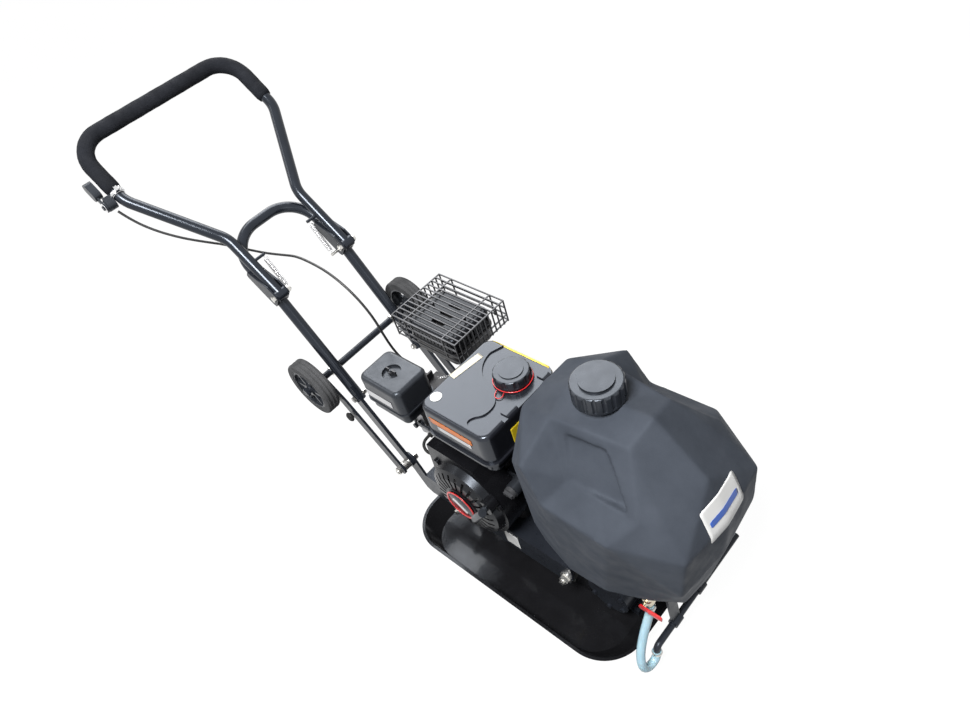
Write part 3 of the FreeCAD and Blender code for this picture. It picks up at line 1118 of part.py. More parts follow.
def axle_clips():
    """Spring clips on the tubes that hold the stowed axle, open to the rear."""
    clips = []
    away = (AXLE - PIVOT).normalize()
    back = V(-away.z, 0, away.x)
    for y in (TUBE_Y - 8,):
        c = V(AXLE.x, 0, AXLE.z)
        ring = ring_y(c.x, c.z, AXLE_R + 3.3, AXLE_R + SOFT_GAP, y, y + 16)
        a = c + LOWER_NORMAL * 10
        stem = cyl(V(a.x, y + 8, a.z), LOWER_NORMAL, 5, 12)
        body = fuse([ring, stem])
        tube = cyl(TUBE_END + V(0, TUBE_Y, 0), LOWER_DIR, TUBE_R, LOWER_LENGTH)
        clips += both_sides(cut(body, [slot_from(c, back, y), tube,
                                       along_y(c.x, c.z, AXLE_R + SOFT_GAP, y - 1, y + 17)]))
    return clips


def slot_from(c, back, y):
    """Straight way out of a clip for the axle, along the direction back."""
    side = V(-back.z, 0, back.x) * (AXLE_R + SOFT_GAP)
    far = back * 40
    pts = [c + side, c + side + far, c - side + far, c - side]
    return polygon_y([(p.x, p.z) for p in pts], y - 1, y + 17)


def hinge_brackets():
    """Plates each side of both tubes, with a web between the tubes that stops the fold."""
    plates = []
    reach = TUBE_R + SOFT_GAP
    low, high = -UPPER_OFFSET - 8, 9

    def at(s, f):
        p = HINGE + UPPER_DIR * s + UPPER_NORMAL * f
        return (p.x, p.z)
    outline = [at(-9, low + 4), at(-9, high - 4), at(-3, high), at(26, high), at(64, -8), at(86, -16),
               at(86, low + 4), at(80, low), at(0, low)]
    for y in (TUBE_Y + reach, TUBE_Y - reach - HINGE_PLATE):
        plate = polygon_y(outline, y, y + HINGE_PLATE)
        plate = plate.cut(along_y(HINGE.x, HINGE.z, HINGE_BOLT_R, y - 1, y + HINGE_PLATE + 1))
        plates.append(plate)
    web_mid = -UPPER_OFFSET / 2
    web = polygon_y([at(20, web_mid - 0.7), at(20, web_mid + 0.7), at(78, web_mid + 0.7),
                     at(78, web_mid - 0.7)], TUBE_Y - reach, TUBE_Y + reach)
    return group(both_sides(fuse(plates + [web])))


def hinge_bolts():
    reach = TUBE_R + SOFT_GAP + HINGE_PLATE
    bolt = fuse([along_y(HINGE.x, HINGE.z, HINGE_BOLT_R, TUBE_Y - reach - 8, TUBE_Y + reach + 6),
                 hexagon_y(HINGE.x, HINGE.z, 13, TUBE_Y + reach, TUBE_Y + reach + 6),
                 hexagon_y(HINGE.x, HINGE.z, 13, TUBE_Y - reach - 7, TUBE_Y - reach)])
    hook = SPRING_LOW
    peg = along_y(hook.x, hook.z, 3.5, SPRING_Y - 4, TUBE_Y - TUBE_R - SOFT_GAP - HINGE_PLATE)
    return both_sides(bolt) + both_sides(peg)


SPRING_Y = 66.0
SPRING_LOW = HINGE + UPPER_DIR * 6 - UPPER_NORMAL * (UPPER_OFFSET + 2)
SPRING_HIGH_S = 92.0


def upper_handle_tube():
    """Bottle-shaped tube: narrow legs, wide grip, round eyes at the hinge."""
    half = [(-TUBE_Y, 0), (-TUBE_Y, NECK_S), (-GRIP_HALF, SHOULDER_S), (-GRIP_HALF, GRIP_S)]
    points = [upper_point(y, s) for y, s in half] + [upper_point(-y, s) for y, s in reversed(half)]
    tube = sweep(points, [NECK_BEND, SHOULDER_BEND, GRIP_BEND, GRIP_BEND, SHOULDER_BEND, NECK_BEND],
                 TUBE_R)
    ends = both_sides(along_y(HINGE.x, HINGE.z, TUBE_R, TUBE_Y - TUBE_R, TUBE_Y + TUBE_R))
    holes = both_sides(along_y(HINGE.x, HINGE.z, HINGE_BOLT_R + RUNNING_GAP, 60, 140))
    peg_at = upper_point(0, SPRING_HIGH_S)
    pegs = both_sides(along_y(peg_at.x, peg_at.z, 3.5, SPRING_Y - 4, TUBE_Y - TUBE_R + 2))
    plug = 20
    inner = [upper_point(y, max(s, plug)) for y, s in half]
    inner += [upper_point(-y, max(s, plug)) for y, s in reversed(half)]
    bore = sweep(inner, [NECK_BEND, SHOULDER_BEND, GRIP_BEND, GRIP_BEND, SHOULDER_BEND, NECK_BEND],
                 TUBE_R - TUBE_WALL)
    return cut(fuse([tube] + ends), holes + [bore]).multiFuse(pegs)


def fold_springs():
    """Tension springs that pull the handle over centre, drawn as their outer form."""
    top = upper_point(0, SPRING_HIGH_S)
    run = top - SPRING_LOW
    unit = run * (1 / run.Length)
    start = SPRING_LOW + unit * 9 + V(0, SPRING_Y, 0)
    body = cyl(start, unit, 6, run.Length - 18)
    ends = [along_y(p.x, p.z, 7, SPRING_Y - 1.5, SPRING_Y + 1.5)
            .cut(along_y(p.x, p.z, 3.5, SPRING_Y - 9, SPRING_Y + 9)) for p in (SPRING_LOW, top)]
    links = [cyl(SPRING_LOW + unit * 4.5 + V(0, SPRING_Y, 0), unit, 1.4, 6),
             cyl(top - unit * 10.5 + V(0, SPRING_Y, 0), unit, 1.4, 6)]
    return group(both_sides(fuse([body] + ends + links)))


def foam_grip():
    half = [(-GRIP_HALF, FOAM_START), (-GRIP_HALF, GRIP_S)]
    points = [upper_point(y, s) for y, s in half] + [upper_point(-y, s) for y, s in reversed(half)]
    radii = [GRIP_BEND, GRIP_BEND]
    return sweep(points, radii, FOAM_R).cut(sweep(points, radii, TUBE_R))


THROTTLE_S = 366.0
THROTTLE_PAD_R = 12.0


def throttle_clamp():
    """Clamp on the near leg with the round housing that the lever turns on."""
    c = upper_point(-GRIP_HALF, THROTTLE_S + 6)
    ring = cyl(c, UPPER_DIR, TUBE_R + 3, 11).cut(cyl(c - UPPER_DIR * 5, UPPER_DIR, TUBE_R, 30))
    p = THROTTLE_PIVOT
    housing = along_y(p.x, p.z, 13, p.y, -GRIP_HALF - TUBE_R - 1)
    neck = box(-6, 6, -19, 0, -5, 5)
    neck.Placement = FreeCAD.Placement(upper_point(-GRIP_HALF - TUBE_R, THROTTLE_S + 11.5),
                                       FreeCAD.Rotation(X_AXIS, UPPER_DIR))
    body = fuse([ring, housing, neck])
    return body.cut(cyl(upper_point(-GRIP_HALF, THROTTLE_S - 40), UPPER_DIR, TUBE_R, 100))


THROTTLE_PIVOT = upper_point(-GRIP_HALF - TUBE_R - 20, THROTTLE_S + 4, -8)


def throttle_lever():
    p = THROTTLE_PIVOT
    y0 = p.y - SOFT_GAP
    hub = along_y(p.x, p.z, 12, y0 - 5, y0)
    bolt = hexagon_y(p.x, p.z, 9, y0 - 9, y0 - 4)
    w = UPPER_NORMAL * 6
    a, b = p + UPPER_DIR * 4, p + UPPER_DIR * 26
    arm = polygon_y([((a - w).x, (a - w).z), ((a + w).x, (a + w).z),
                     ((b + w).x, (b + w).z), ((b - w).x, (b - w).z)], y0 - 5, y0 - 1)
    w = UPPER_NORMAL * THROTTLE_PAD_R
    a, b = p + UPPER_DIR * 33, p + UPPER_DIR * 52
    pad = polygon_y([((a - w).x, (a - w).z), ((a + w).x, (a + w).z),
                     ((b + w).x, (b + w).z), ((b - w).x, (b - w).z)], y0 - 8, y0 + 9)
    ends = [along_y(q.x, q.z, THROTTLE_PAD_R, y0 - 8, y0 + 9) for q in (a, b)]
    return fuse([hub, bolt, arm, pad] + ends)


# ---- wheels -----------------------------------------------------------------
def carriage_arms():
    """Flat arms that carry the axle and swing on the handle's pivot bolts."""
    arms = []
    y0, y1 = ARM_Y, ARM_Y + ARM_THICK
    side = LOWER_NORMAL * (ARM_WIDTH / 2)
    p, a = PIVOT, AXLE
    bend = TUBE_END + LOWER_DIR * 20 - LOWER_NORMAL * 12
    outline = [p + side, p - side, bend - side * 1.1, a - side * 0.9, a + side * 0.9, bend + side * 0.8]
    arm = fuse([polygon_y([(q.x, q.z) for q in outline], y0, y1),
                along_y(p.x, p.z, ARM_WIDTH / 2, y0, y1), along_y(a.x, a.z, ARM_WIDTH / 2, y0, y1)])
    arm = cut(arm, [along_y(p.x, p.z, MOUNT_BOLT_R + RUNNING_GAP, y0 - 1, y1 + 1),
                    along_y(a.x, a.z, AXLE_R, y0 - 1, y1 + 1)])
    return group(both_sides(arm))


def wheel_axle():
    bar = along_y(AXLE.x, AXLE.z, AXLE_R, -WHEEL_Y - WHEEL_WIDTH / 2 - 8, WHEEL_Y + WHEEL_WIDTH / 2 + 8)
    y = WHEEL_Y + WHEEL_WIDTH / 2
    nut = hexagon_y(AXLE.x, AXLE.z, 19, y + SOFT_GAP, y + 7)
    collar = ring_y(AXLE.x, AXLE.z, 12, AXLE_R, ARM_Y + ARM_THICK, WHEEL_Y - WHEEL_WIDTH / 2 - SOFT_GAP)
    return fuse([bar] + both_sides(nut) + both_sides(collar))


def tyre(side):
    y0, y1 = WHEEL_Y - WHEEL_WIDTH / 2, WHEEL_Y + WHEEL_WIDTH / 2
    shape = ring_y(AXLE.x, AXLE.z, WHEEL_R, RIM_R, y0 + 1, y1 - 1)
    outer = [e for e in shape.Edges if e.BoundBox.XMax > AXLE.x + WHEEL_R - 1 and e.Closed]
    shape = shape.makeFillet(3, outer)
    return shape if side > 0 else shape.mirror(ORIGIN, Y_AXIS)


def rim(side):
    """Plastic wheel centre with a hub and four oval windows."""
    x, z = AXLE.x, AXLE.z
    y0, y1 = WHEEL_Y - WHEEL_WIDTH / 2, WHEEL_Y + WHEEL_WIDTH / 2
    barrel = ring_y(x, z, RIM_R, RIM_R - 4, y0 + 2, y1 - 2)
    disc = along_y(x, z, RIM_R - 1, WHEEL_Y + 4, WHEEL_Y + 9)
    hub = along_y(x, z, 15, y0, y1 - 2)
    spokes = []
    windows = []
    for i in range(6):
        hole = fuse([along_y(x + 32, z - 6, 7, y0, y1), along_y(x + 32, z + 6, 7, y0, y1),
                     box(x + 25, x + 39, y0, y1, z - 6, z + 6)])
        hole.rotate(V(x, 0, z), Y_AXIS, 60 * i + 30)
        windows.append(hole)
        spoke = box(x + 10, x + RIM_R - 2, WHEEL_Y + 6, WHEEL_Y + 12, z - 3, z + 3)
        spoke.rotate(V(x, 0, z), Y_AXIS, 60 * i)
        spokes.append(spoke)
    bore = along_y(x, z, AXLE_R + RUNNING_GAP, y0 - 1, y1 + 1)
    shape = cut(fuse([barrel, disc, hub] + spokes), windows + [bore])
    return shape if side > 0 else shape.mirror(ORIGIN, Y_AXIS)


# ---- throttle cable ---------------------------------------------------------
CABLE_UPPER = [upper_point(-226, 350, -10), upper_point(-216, 322, -20), upper_point(-194, 280, -27),
               upper_point(-165, 240, -32), upper_point(-134, 208, -39), upper_point(-106, 184, -48)]
CABLE_LOWER = [upper_point(-105.4, 183.4, -48.2), upper_point(-82, 160, -54), upper_point(-62, 128, -46),
               upper_point(-48, 94, -22), V(-596, -38, 668), V(-553, -33, 676), V(-506, -30, 673),
               V(-458, -28, 665), V(-414, -26, 643), V(-380, -24, 609), V(-362, -21, 566),
               V(-359, -18, 520), V(-350, -15, 474), V(-326, -11, 440), V(-292, -8, 431),
               V(-266.5, -6, 431)]


def throttle_cable_upper():
    return cord("throttle_cable_upper", CABLE_UPPER, CABLE_R)


def throttle_cable_lower():
    return cord("throttle_cable_lower", CABLE_LOWER, CABLE_R)


def main():
    os.makedirs("parts", exist_ok=True)
    parts = {
        "base_plate": base_plate(),
        "exciter_housing": group([exciter_housing()] + exciter_covers()),
        "exciter_bearings": exciter_bearings(),
        "exciter_shaft": exciter_shaft(),
        "exciter_pulley": exciter_pulley(),
        "rubber_mounts": rubber_mounts(),
        "deck_bolts": deck_bolts(),
        "engine_deck": engine_deck(),
        "crankcase": crankcase(),
        "cylinder_head": cylinder_head(),
        "rocker_cover": rocker_cover(),
        "spark_plug_cap": spark_plug_cap(),
        "crankshaft": crankshaft(),
        "flywheel": flywheel(),
        "blower_housing": blower_housing(),
        "starter_cover": starter_cover(),
        "starter_grip": starter_grip(),
        "fuel_tank": fuel_tank(),
        "fuel_cap": fuel_cap(),
        "carburettor": carburettor(),
        "choke_lever": choke_lever(),
        "fuel_valve_lever": fuel_valve_lever(),
        "air_cleaner_base": air_cleaner_base(),
        "air_cleaner_cover": air_cleaner_cover(),
        "wing_nut": wing_nut(),
        "governor_bracket": governor_bracket(),
        "governor_lever": governor_lever(),
        "muffler": muffler(),
        "muffler_shield": muffler_shield(),
        "wire_cage": wire_cage(),
        "oil_cap": oil_cap(),
        "engine_switch": engine_switch(),
        "switch_knob": switch_knob(),
        "clutch_hub": clutch_hub(),
        "clutch_drum": clutch_drum(),
        "drive_belt": drive_belt(),
        "belt_guard": belt_guard(),
        "water_tank": water_tank(),
        "water_cap": water_cap(),
        "tank_bracket": tank_bracket(),
        "ball_valve": ball_valve(),
        "valve_lever": valve_lever(),
        "water_hose": water_hose(),
        "sprinkler_tube": sprinkler_tube(),
        "lower_handle_tube": lower_handle_tube(),
        "handle_hardware": group(handle_bolts() + hinge_bolts() + axle_clips()),
        "hinge_brackets": hinge_brackets(),
        "upper_handle_tube": upper_handle_tube(),
        "fold_springs": fold_springs(),
        "foam_grip": foam_grip(),
        "throttle_clamp": throttle_clamp(),
        "throttle_lever": throttle_lever(),
        "carriage_arms": carriage_arms(),
        "wheel_axle": wheel_axle(),
        "tyre_left": tyre(1),
        "tyre_right": tyre(-1),
        "rim_left": rim(1),
        "rim_right": rim(-1),
        "throttle_cable_upper": throttle_cable_upper(),
        "throttle_cable_lower": throttle_cable_lower(),
    }
    for name, shape in parts.items():
        shape.exportStep("parts/" + name + ".step")
        print(name, len(shape.Solids), "solids", "valid" if shape.isValid() else "NOT VALID",
              round(shape.Volume / 1000), "cm3")
    print(len(parts), "parts")


main()
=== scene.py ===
"""Looks of the plate compactor: materials, soft pieces, trim, light and camera.  Metres, row frame."""
import math

import bmesh
import bpy
from mathutils import Matrix, Vector
from mathutils.bvhtree import BVHTree


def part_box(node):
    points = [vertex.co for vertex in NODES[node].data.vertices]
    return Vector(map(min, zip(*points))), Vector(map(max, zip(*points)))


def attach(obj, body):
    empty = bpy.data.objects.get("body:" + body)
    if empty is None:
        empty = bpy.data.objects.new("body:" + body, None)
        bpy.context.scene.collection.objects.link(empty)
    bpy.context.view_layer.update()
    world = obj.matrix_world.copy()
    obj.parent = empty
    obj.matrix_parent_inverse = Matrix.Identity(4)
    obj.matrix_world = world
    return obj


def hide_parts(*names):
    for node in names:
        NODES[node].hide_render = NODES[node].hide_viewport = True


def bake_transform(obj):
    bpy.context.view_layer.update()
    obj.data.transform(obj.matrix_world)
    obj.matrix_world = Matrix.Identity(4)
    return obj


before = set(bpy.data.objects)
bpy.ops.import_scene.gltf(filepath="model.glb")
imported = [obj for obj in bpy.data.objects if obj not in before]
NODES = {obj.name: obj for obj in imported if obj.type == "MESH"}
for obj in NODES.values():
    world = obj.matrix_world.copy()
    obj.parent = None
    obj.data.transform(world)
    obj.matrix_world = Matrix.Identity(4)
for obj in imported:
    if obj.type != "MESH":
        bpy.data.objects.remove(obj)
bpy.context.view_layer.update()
V = Vector


# ---- camera -------------------------------------------------------------------------------
CAMERA_AT = V((0.778, -0.590, 1.547))
CAMERA_FORWARD = V((-0.5913, 0.4158, -0.6910))
CAMERA_UP = V((-0.3566, 0.6338, 0.6865))
CAMERA_SENSOR, CAMERA_LENS = 36.0, 28.21     # mm


def make_camera():
    data = bpy.data.cameras.new("camera")
    cam = bpy.data.objects.new("camera", data)
    bpy.context.scene.collection.objects.link(cam)
    forward = CAMERA_FORWARD.normalized()
    right = forward.cross(CAMERA_UP).normalized()
    up = right.cross(forward).normalized()
    rot = Matrix((right, up, -forward)).transposed()
    cam.matrix_world = Matrix.Translation(CAMERA_AT) @ rot.to_4x4()
    data.sensor_width = CAMERA_SENSOR
    data.lens = CAMERA_LENS
    data.clip_end = 50
    bpy.context.scene.camera = cam


make_camera()


# ---- material helpers -----------------------------------------------------------------------
NOISE_LOW, NOISE_HIGH = 0.3, 0.7             # most of a noise lies between these
COAT_ROUGH = 0.08
CREASE_START, CREASE_FULL = 0.55, 0.66       # pointiness where the painted crease highlight begins and is full
# colour of the painted highlight along the creases
CREASE_HIGHLIGHT_COLOR = (0.16, 0.175, 0.20)
COOL = (0.80, 0.88, 1.0)                     # bluish tint of the light that black paint reflects


def new_material(name):
    m = bpy.data.materials.new(name)
    m.use_nodes = True
    t = m.node_tree
    return m, t, t.nodes["Principled BSDF"]


def noise(t, scale, detail, rough, coords):
    n = t.nodes.new("ShaderNodeTexNoise")
    n.inputs["Scale"].default_value = scale
    n.inputs["Detail"].default_value = detail
    n.inputs["Roughness"].default_value = rough
    t.links.new(coords, n.inputs["Vector"])
    return n.outputs["Fac"]


def ramp(t, fac, stops):
    """Colour that goes from the first stop to the second as fac rises."""
    r = t.nodes.new("ShaderNodeValToRGB")
    for e, (pos, col) in zip(r.color_ramp.elements, stops):
        e.position = pos
        e.color = (*col, 1)
    t.links.new(fac, r.inputs["Fac"])
    return r.outputs["Color"]


def spread(t, fac, low, high):
    """Number that goes from low to high over the middle of a noise."""
    m = t.nodes.new("ShaderNodeMapRange")
    m.inputs["From Min"].default_value = NOISE_LOW
    m.inputs["From Max"].default_value = NOISE_HIGH
    m.inputs["To Min"].default_value = low
    m.inputs["To Max"].default_value = high
    t.links.new(fac, m.inputs["Value"])
    return m.outputs["Result"]


def bump(t, height, strength, distance):
    b = t.nodes.new("ShaderNodeBump")
    b.inputs["Strength"].default_value = strength
    b.inputs["Distance"].default_value = distance
    t.links.new(height, b.inputs["Height"])
    return b.outputs["Normal"]


def paint_crease_highlight(t, p, strength):
    """Painted highlight: lighter colour along the outer creases, standing in for the light they catch."""
    crease_highlight = t.nodes.new("ShaderNodeMapRange")
    crease_highlight.inputs["From Min"].default_value = CREASE_START
    crease_highlight.inputs["From Max"].default_value = CREASE_FULL
    crease_highlight.inputs["To Max"].default_value = strength
    t.links.new(t.nodes.new("ShaderNodeNewGeometry").outputs["Pointiness"], crease_highlight.inputs["Value"])
    mix = t.nodes.new("ShaderNodeMixRGB")
    mix.inputs["Color2"].default_value = (*CREASE_HIGHLIGHT_COLOR, 1)
    base = p.inputs["Base Color"].links[0].from_socket
    t.links.new(crease_highlight.outputs["Result"], mix.inputs["Fac"])
    t.links.new(base, mix.inputs["Color1"])
    t.links.new(mix.outputs["Color"], p.inputs["Base Color"])


def finish_material(name, color, rough, metallic=0.0, coat=0.0, vary=0.15, grain=900.0, grain_depth=0.0002,
                    grain_strength=0.15, dust=0.0, blotch=14.0, specular=0.5, tint=None, edge=0.0):
    """Paint, plastic or metal: colour and roughness drift slowly, a fine grain catches light, and edge
    paints a lighter highlight along the outer creases.
    """
    m, t, p = new_material(name)
    coords = t.nodes.new("ShaderNodeTexCoord").outputs["Object"]
    slow = noise(t, blotch, 5.0, 0.6, coords)
    dark = tuple(c * (1 - vary) for c in color)
    light = tuple(min(1.0, c * (1 + vary) + dust) for c in color)
    t.links.new(ramp(t, slow, [(0.32, dark), (0.68, light)]), p.inputs["Base Color"])
    t.links.new(spread(t, noise(t, blotch * 3.1, 4.0, 0.6, coords), rough * 0.8, min(1, rough * 1.25)),
                p.inputs["Roughness"])
    p.inputs["Metallic"].default_value = metallic
    p.inputs["Coat Weight"].default_value = coat
    p.inputs["Coat Roughness"].default_value = COAT_ROUGH
    p.inputs["Specular IOR Level"].default_value = specular
    if tint:
        p.inputs["Specular Tint"].default_value = (*tint, 1)
    # painted highlight: lighter colour along the creases
    if edge:
        paint_crease_highlight(t, p, edge)
    fine = noise(t, grain, 2.0, 0.5, coords)
    t.links.new(bump(t, fine, grain_strength, grain_depth), p.inputs["Normal"])
    return m


MAT = {
    "casting": finish_material("enamel_black", (0.008, 0.008, 0.009), 0.20, coat=0.2, grain=240,
                               grain_depth=0.0006, grain_strength=0.12, specular=0.25, tint=COOL),
    "powder": finish_material("powder_coat_black", (0.014, 0.016, 0.021), 0.30, grain=1400,
                              grain_strength=0.15, specular=0.28, tint=COOL),
    "gloss": finish_material("gloss_black", (0.012, 0.013, 0.017), 0.20, grain=300, grain_strength=0.04,
                             specular=0.5, tint=COOL),
    "shroud": finish_material("shroud_black", (0.005, 0.005, 0.006), 0.26, grain=300,
                              grain_strength=0.04, specular=0.22, tint=COOL),
    "tube": finish_material("tube_black", (0.012, 0.014, 0.019), 0.20, grain=1200, grain_strength=0.08,
                            specular=0.4, tint=COOL),
    "aluminium": finish_material("cast_aluminium", (0.36, 0.36, 0.37), 0.42, metallic=1.0, grain=700,
                                 grain_depth=0.0005, grain_strength=0.5, vary=0.2),
    "dark_alu": finish_material("engine_casting_dark", (0.022, 0.022, 0.024), 0.42, metallic=0.3,
                                grain=600, grain_depth=0.0005, grain_strength=0.5, vary=0.3,
                                specular=0.4),
    "zinc": finish_material("zinc_plate", (0.66, 0.65, 0.62), 0.28, metallic=1.0, grain=500, vary=0.12),
    "chrome": finish_material("bright_chrome", (0.80, 0.80, 0.81), 0.12, metallic=1.0, grain=300,
                              grain_strength=0.04, vary=0.05),
    "steel": finish_material("machined_steel", (0.42, 0.42, 0.43), 0.30, metallic=1.0, grain=800,
                             vary=0.15),
    "wire": finish_material("blackened_wire", (0.040, 0.041, 0.045), 0.30, metallic=0.6, grain=500,
                            vary=0.3),
    "rust_steel": finish_material("muffler_steel", (0.035, 0.034, 0.034), 0.45, metallic=0.5, vary=0.4,
                                  blotch=30),
    "rubber": finish_material("black_rubber", (0.012, 0.012, 0.012), 0.72, grain=600,
                              grain_strength=0.3, specular=0.3),
    "tyre": finish_material("tyre_grey", (0.060, 0.061, 0.064), 0.80, grain=520, grain_depth=0.0004,
                            grain_strength=0.6, dust=0.02, vary=0.25, specular=0.25),
    # edge=0.6 on the tank paints a lighter highlight along its creases
    "tank": finish_material("rotomoulded_grey", (0.052, 0.060, 0.075), 0.55, grain=420,
                            grain_depth=0.0007, grain_strength=0.22, vary=0.16, dust=0.004, blotch=7,
                            specular=0.07, tint=COOL, edge=0.6),
    "plastic": finish_material("black_plastic", (0.018, 0.020, 0.024), 0.32, grain=900,
                               grain_strength=0.2, specular=0.42, tint=COOL),
    "cap": finish_material("ribbed_cap_black", (0.016, 0.018, 0.022), 0.30, grain=700,
                           grain_strength=0.12, specular=0.5, tint=COOL),
    "grey": finish_material("dark_grey_plastic", (0.045, 0.046, 0.05), 0.42, grain=700),
    "red": finish_material("red_dip", (0.55, 0.012, 0.015), 0.34, coat=0.4, grain=300, vary=0.12),
    "brass": finish_material("plated_brass", (0.62, 0.56, 0.44), 0.25, metallic=1.0, grain=300),
    "foam": finish_material("closed_cell_foam", (0.016, 0.0175, 0.022), 0.92, grain=1500,
                            grain_depth=0.0008, grain_strength=0.8, vary=0.3, specular=0.12),
    "cable": finish_material("cable_sheath", (0.010, 0.010, 0.011), 0.42, grain=800),
    "white": finish_material("label_white", (0.80, 0.80, 0.79), 0.35, grain=300, vary=0.03),
    "blue": finish_material("label_blue", (0.03, 0.10, 0.42), 0.35, grain=300, vary=0.05),
    "orange": finish_material("label_orange", (0.62, 0.17, 0.03), 0.35, grain=300, vary=0.05),
    "yellow": finish_material("label_yellow", (0.78, 0.58, 0.02), 0.35, grain=300, vary=0.05),
    "cream": finish_material("label_cream", (0.62, 0.58, 0.47), 0.4, grain=300, vary=0.05),
    "silver": finish_material("foil_silver", (0.60, 0.60, 0.61), 0.35, metallic=0.8, grain=300,
                              vary=0.08),
}


def hose_material():
    m, t, p = new_material("hose_pale_blue")
    coords = t.nodes.new("ShaderNodeTexCoord").outputs["Object"]
    slow = noise(t, 30, 4, 0.5, coords)
    blues = [(0.3, (0.36, 0.56, 0.66)), (0.7, (0.50, 0.70, 0.78))]
    t.links.new(ramp(t, slow, blues), p.inputs["Base Color"])
    p.inputs["Roughness"].default_value = 0.22
    p.inputs["Transmission Weight"].default_value = 0.25
    p.inputs["IOR"].default_value = 1.4
    p.inputs["Subsurface Weight"].default_value = 0.2
    p.inputs["Subsurface Radius"].default_value = (0.004, 0.006, 0.008)
    return m


MAT["hose"] = hose_material()

NODE_MATERIAL = {
    "casting": ["base_plate"],
    "powder": ["exciter_housing", "engine_deck", "belt_guard", "tank_bracket", "sprinkler_tube",
               "carriage_arms", "hinge_brackets", "wheel_axle"],
    "gloss": ["rocker_cover", "fuel_tank"],
    "shroud": ["blower_housing", "starter_cover", "muffler_shield"],
    "tube": ["lower_handle_tube", "upper_handle_tube"],
    "dark_alu": ["crankcase", "governor_bracket"],
    "aluminium": ["cylinder_head", "carburettor", "flywheel"],
    "zinc": ["deck_bolts", "handle_hardware", "governor_lever"],
    "chrome": ["fold_springs"],
    "steel": ["exciter_bearings", "exciter_shaft", "exciter_pulley", "crankshaft", "clutch_hub",
              "clutch_drum"],
    "wire": ["wire_cage", "wing_nut"],
    "rust_steel": ["muffler"],
    "rubber": ["rubber_mounts", "spark_plug_cap", "drive_belt"],
    "tyre": ["tyre_left", "tyre_right"],
    "tank": ["water_tank"],
    "cap": ["water_cap", "fuel_cap"],
    "plastic": ["starter_grip", "choke_lever", "fuel_valve_lever", "air_cleaner_base",
                "air_cleaner_cover", "engine_switch", "rim_left", "rim_right", "throttle_clamp",
                "throttle_lever"],
    "grey": ["oil_cap", "switch_knob"],
    "red": ["valve_lever"],
    "brass": ["ball_valve"],
    "foam": ["foam_grip"],
    "cable": ["throttle_cable_upper", "throttle_cable_lower"],
    "hose": ["water_hose"],
}
# width of the rounded edges, mm
BEVELS = {"base_plate": 1.5, "engine_deck": 1.0, "tank_bracket": 1.0, "carriage_arms": 1.0,
          "hinge_brackets": 0.8, "crankcase": 1.6, "cylinder_head": 0.6, "belt_guard": 0.8,
          "starter_cover": 0.5, "blower_housing": 0.6, "carburettor": 0.8, "valve_lever": 0.6,
          "throttle_lever": 0.8, "deck_bolts": 0.5, "handle_hardware": 0.5, "exciter_housing": 1.0,
          "fuel_cap": 0.8, "water_cap": 0.8, "wire_cage": 0.9, "muffler_shield": 0.4,
          "switch_knob": 0.8, "oil_cap": 1.0, "wing_nut": 0.6, "choke_lever": 0.6, "rim_left": 0.6,
          "rim_right": 0.6, "fuel_valve_lever": 0.6, "governor_bracket": 0.4, "throttle_clamp": 0.6,
          "engine_switch": 0.6, "wheel_axle": 0.5, "ball_valve": 0.5}


def dress_nodes():
    for key, names in NODE_MATERIAL.items():
        for name in names:
            obj = NODES[name]
            if obj.material_slots:
                for s in obj.material_slots:
                    s.material = MAT[key]
            else:
                obj.data.materials.append(MAT[key])
    for name, width in BEVELS.items():
        mod = NODES[name].modifiers.new("edge", "BEVEL")
        mod.width = width / 1000
        mod.segments = 2
        mod.limit_method = "ANGLE"
        mod.angle_limit = math.radians(32)
        mod.use_clamp_overlap = True


dress_nodes()


# ---- piece helpers --------------------------------------------------------------------------
ALONG, ACROSS, UP = V((1, 0, 0)), V((0, 1, 0)), V((0, 0, 1))
STICKER_LIFT = 0.0004        # a sticker stands this far off what it is on
DECAL_STEPS = 14
DECAL_DROP = 0.03            # height from which a sticker is dropped on its surface
DECAL_THICK = 0.0004


def link(obj):
    bpy.context.scene.collection.objects.link(obj)
    return obj


def mesh_piece(name, verts, faces, mat, body, smooth=True):
    me = bpy.data.meshes.new(name)
    me.from_pydata([tuple(v) for v in verts], [], faces)
    me.materials.append(MAT[mat])
    obj = link(bpy.data.objects.new(name, me))
    for p in me.polygons:
        p.use_smooth = smooth
    if body:
        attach(obj, body)
    return obj


def curve_piece(name, points, radius, mat, body, cyclic=False):
    """Round cord along a NURBS curve with these control points."""
    cu = bpy.data.curves.new(name, "CURVE")
    cu.dimensions = "3D"
    sp = cu.splines.new("NURBS")
    sp.points.add(len(points) - 1)
    for q, p in zip(sp.points, points):
        q.co = (*p, 1)
    sp.order_u = 3
    sp.use_endpoint_u = not cyclic
    sp.use_cyclic_u = cyclic
    cu.bevel_depth = radius
    cu.bevel_resolution = 5
    cu.resolution_u = 10
    cu.use_fill_caps = True
    cu.materials.append(MAT[mat])
    obj = link(bpy.data.objects.new(name, cu))
    if body:
        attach(obj, body)
    return obj


def centreline(points):
    """Points along the NURBS curve that has these control points."""
    obj = curve_piece("centreline", points, 0.0, "cable", None)
    me = bpy.data.meshes.new_from_object(obj)
    line = [v.co.copy() for v in me.vertices]
    bpy.data.objects.remove(obj)
    bpy.data.meshes.remove(me)
    return line


def bands(rings, sides):
    """Faces between rings of points, each ring closed."""
    faces = []
    for i in range(rings - 1):
        for k in range(sides):
            k2 = (k + 1) % sides
            faces.append((i * sides + k, i * sides + k2, (i + 1) * sides + k2, (i + 1) * sides + k))
    return faces


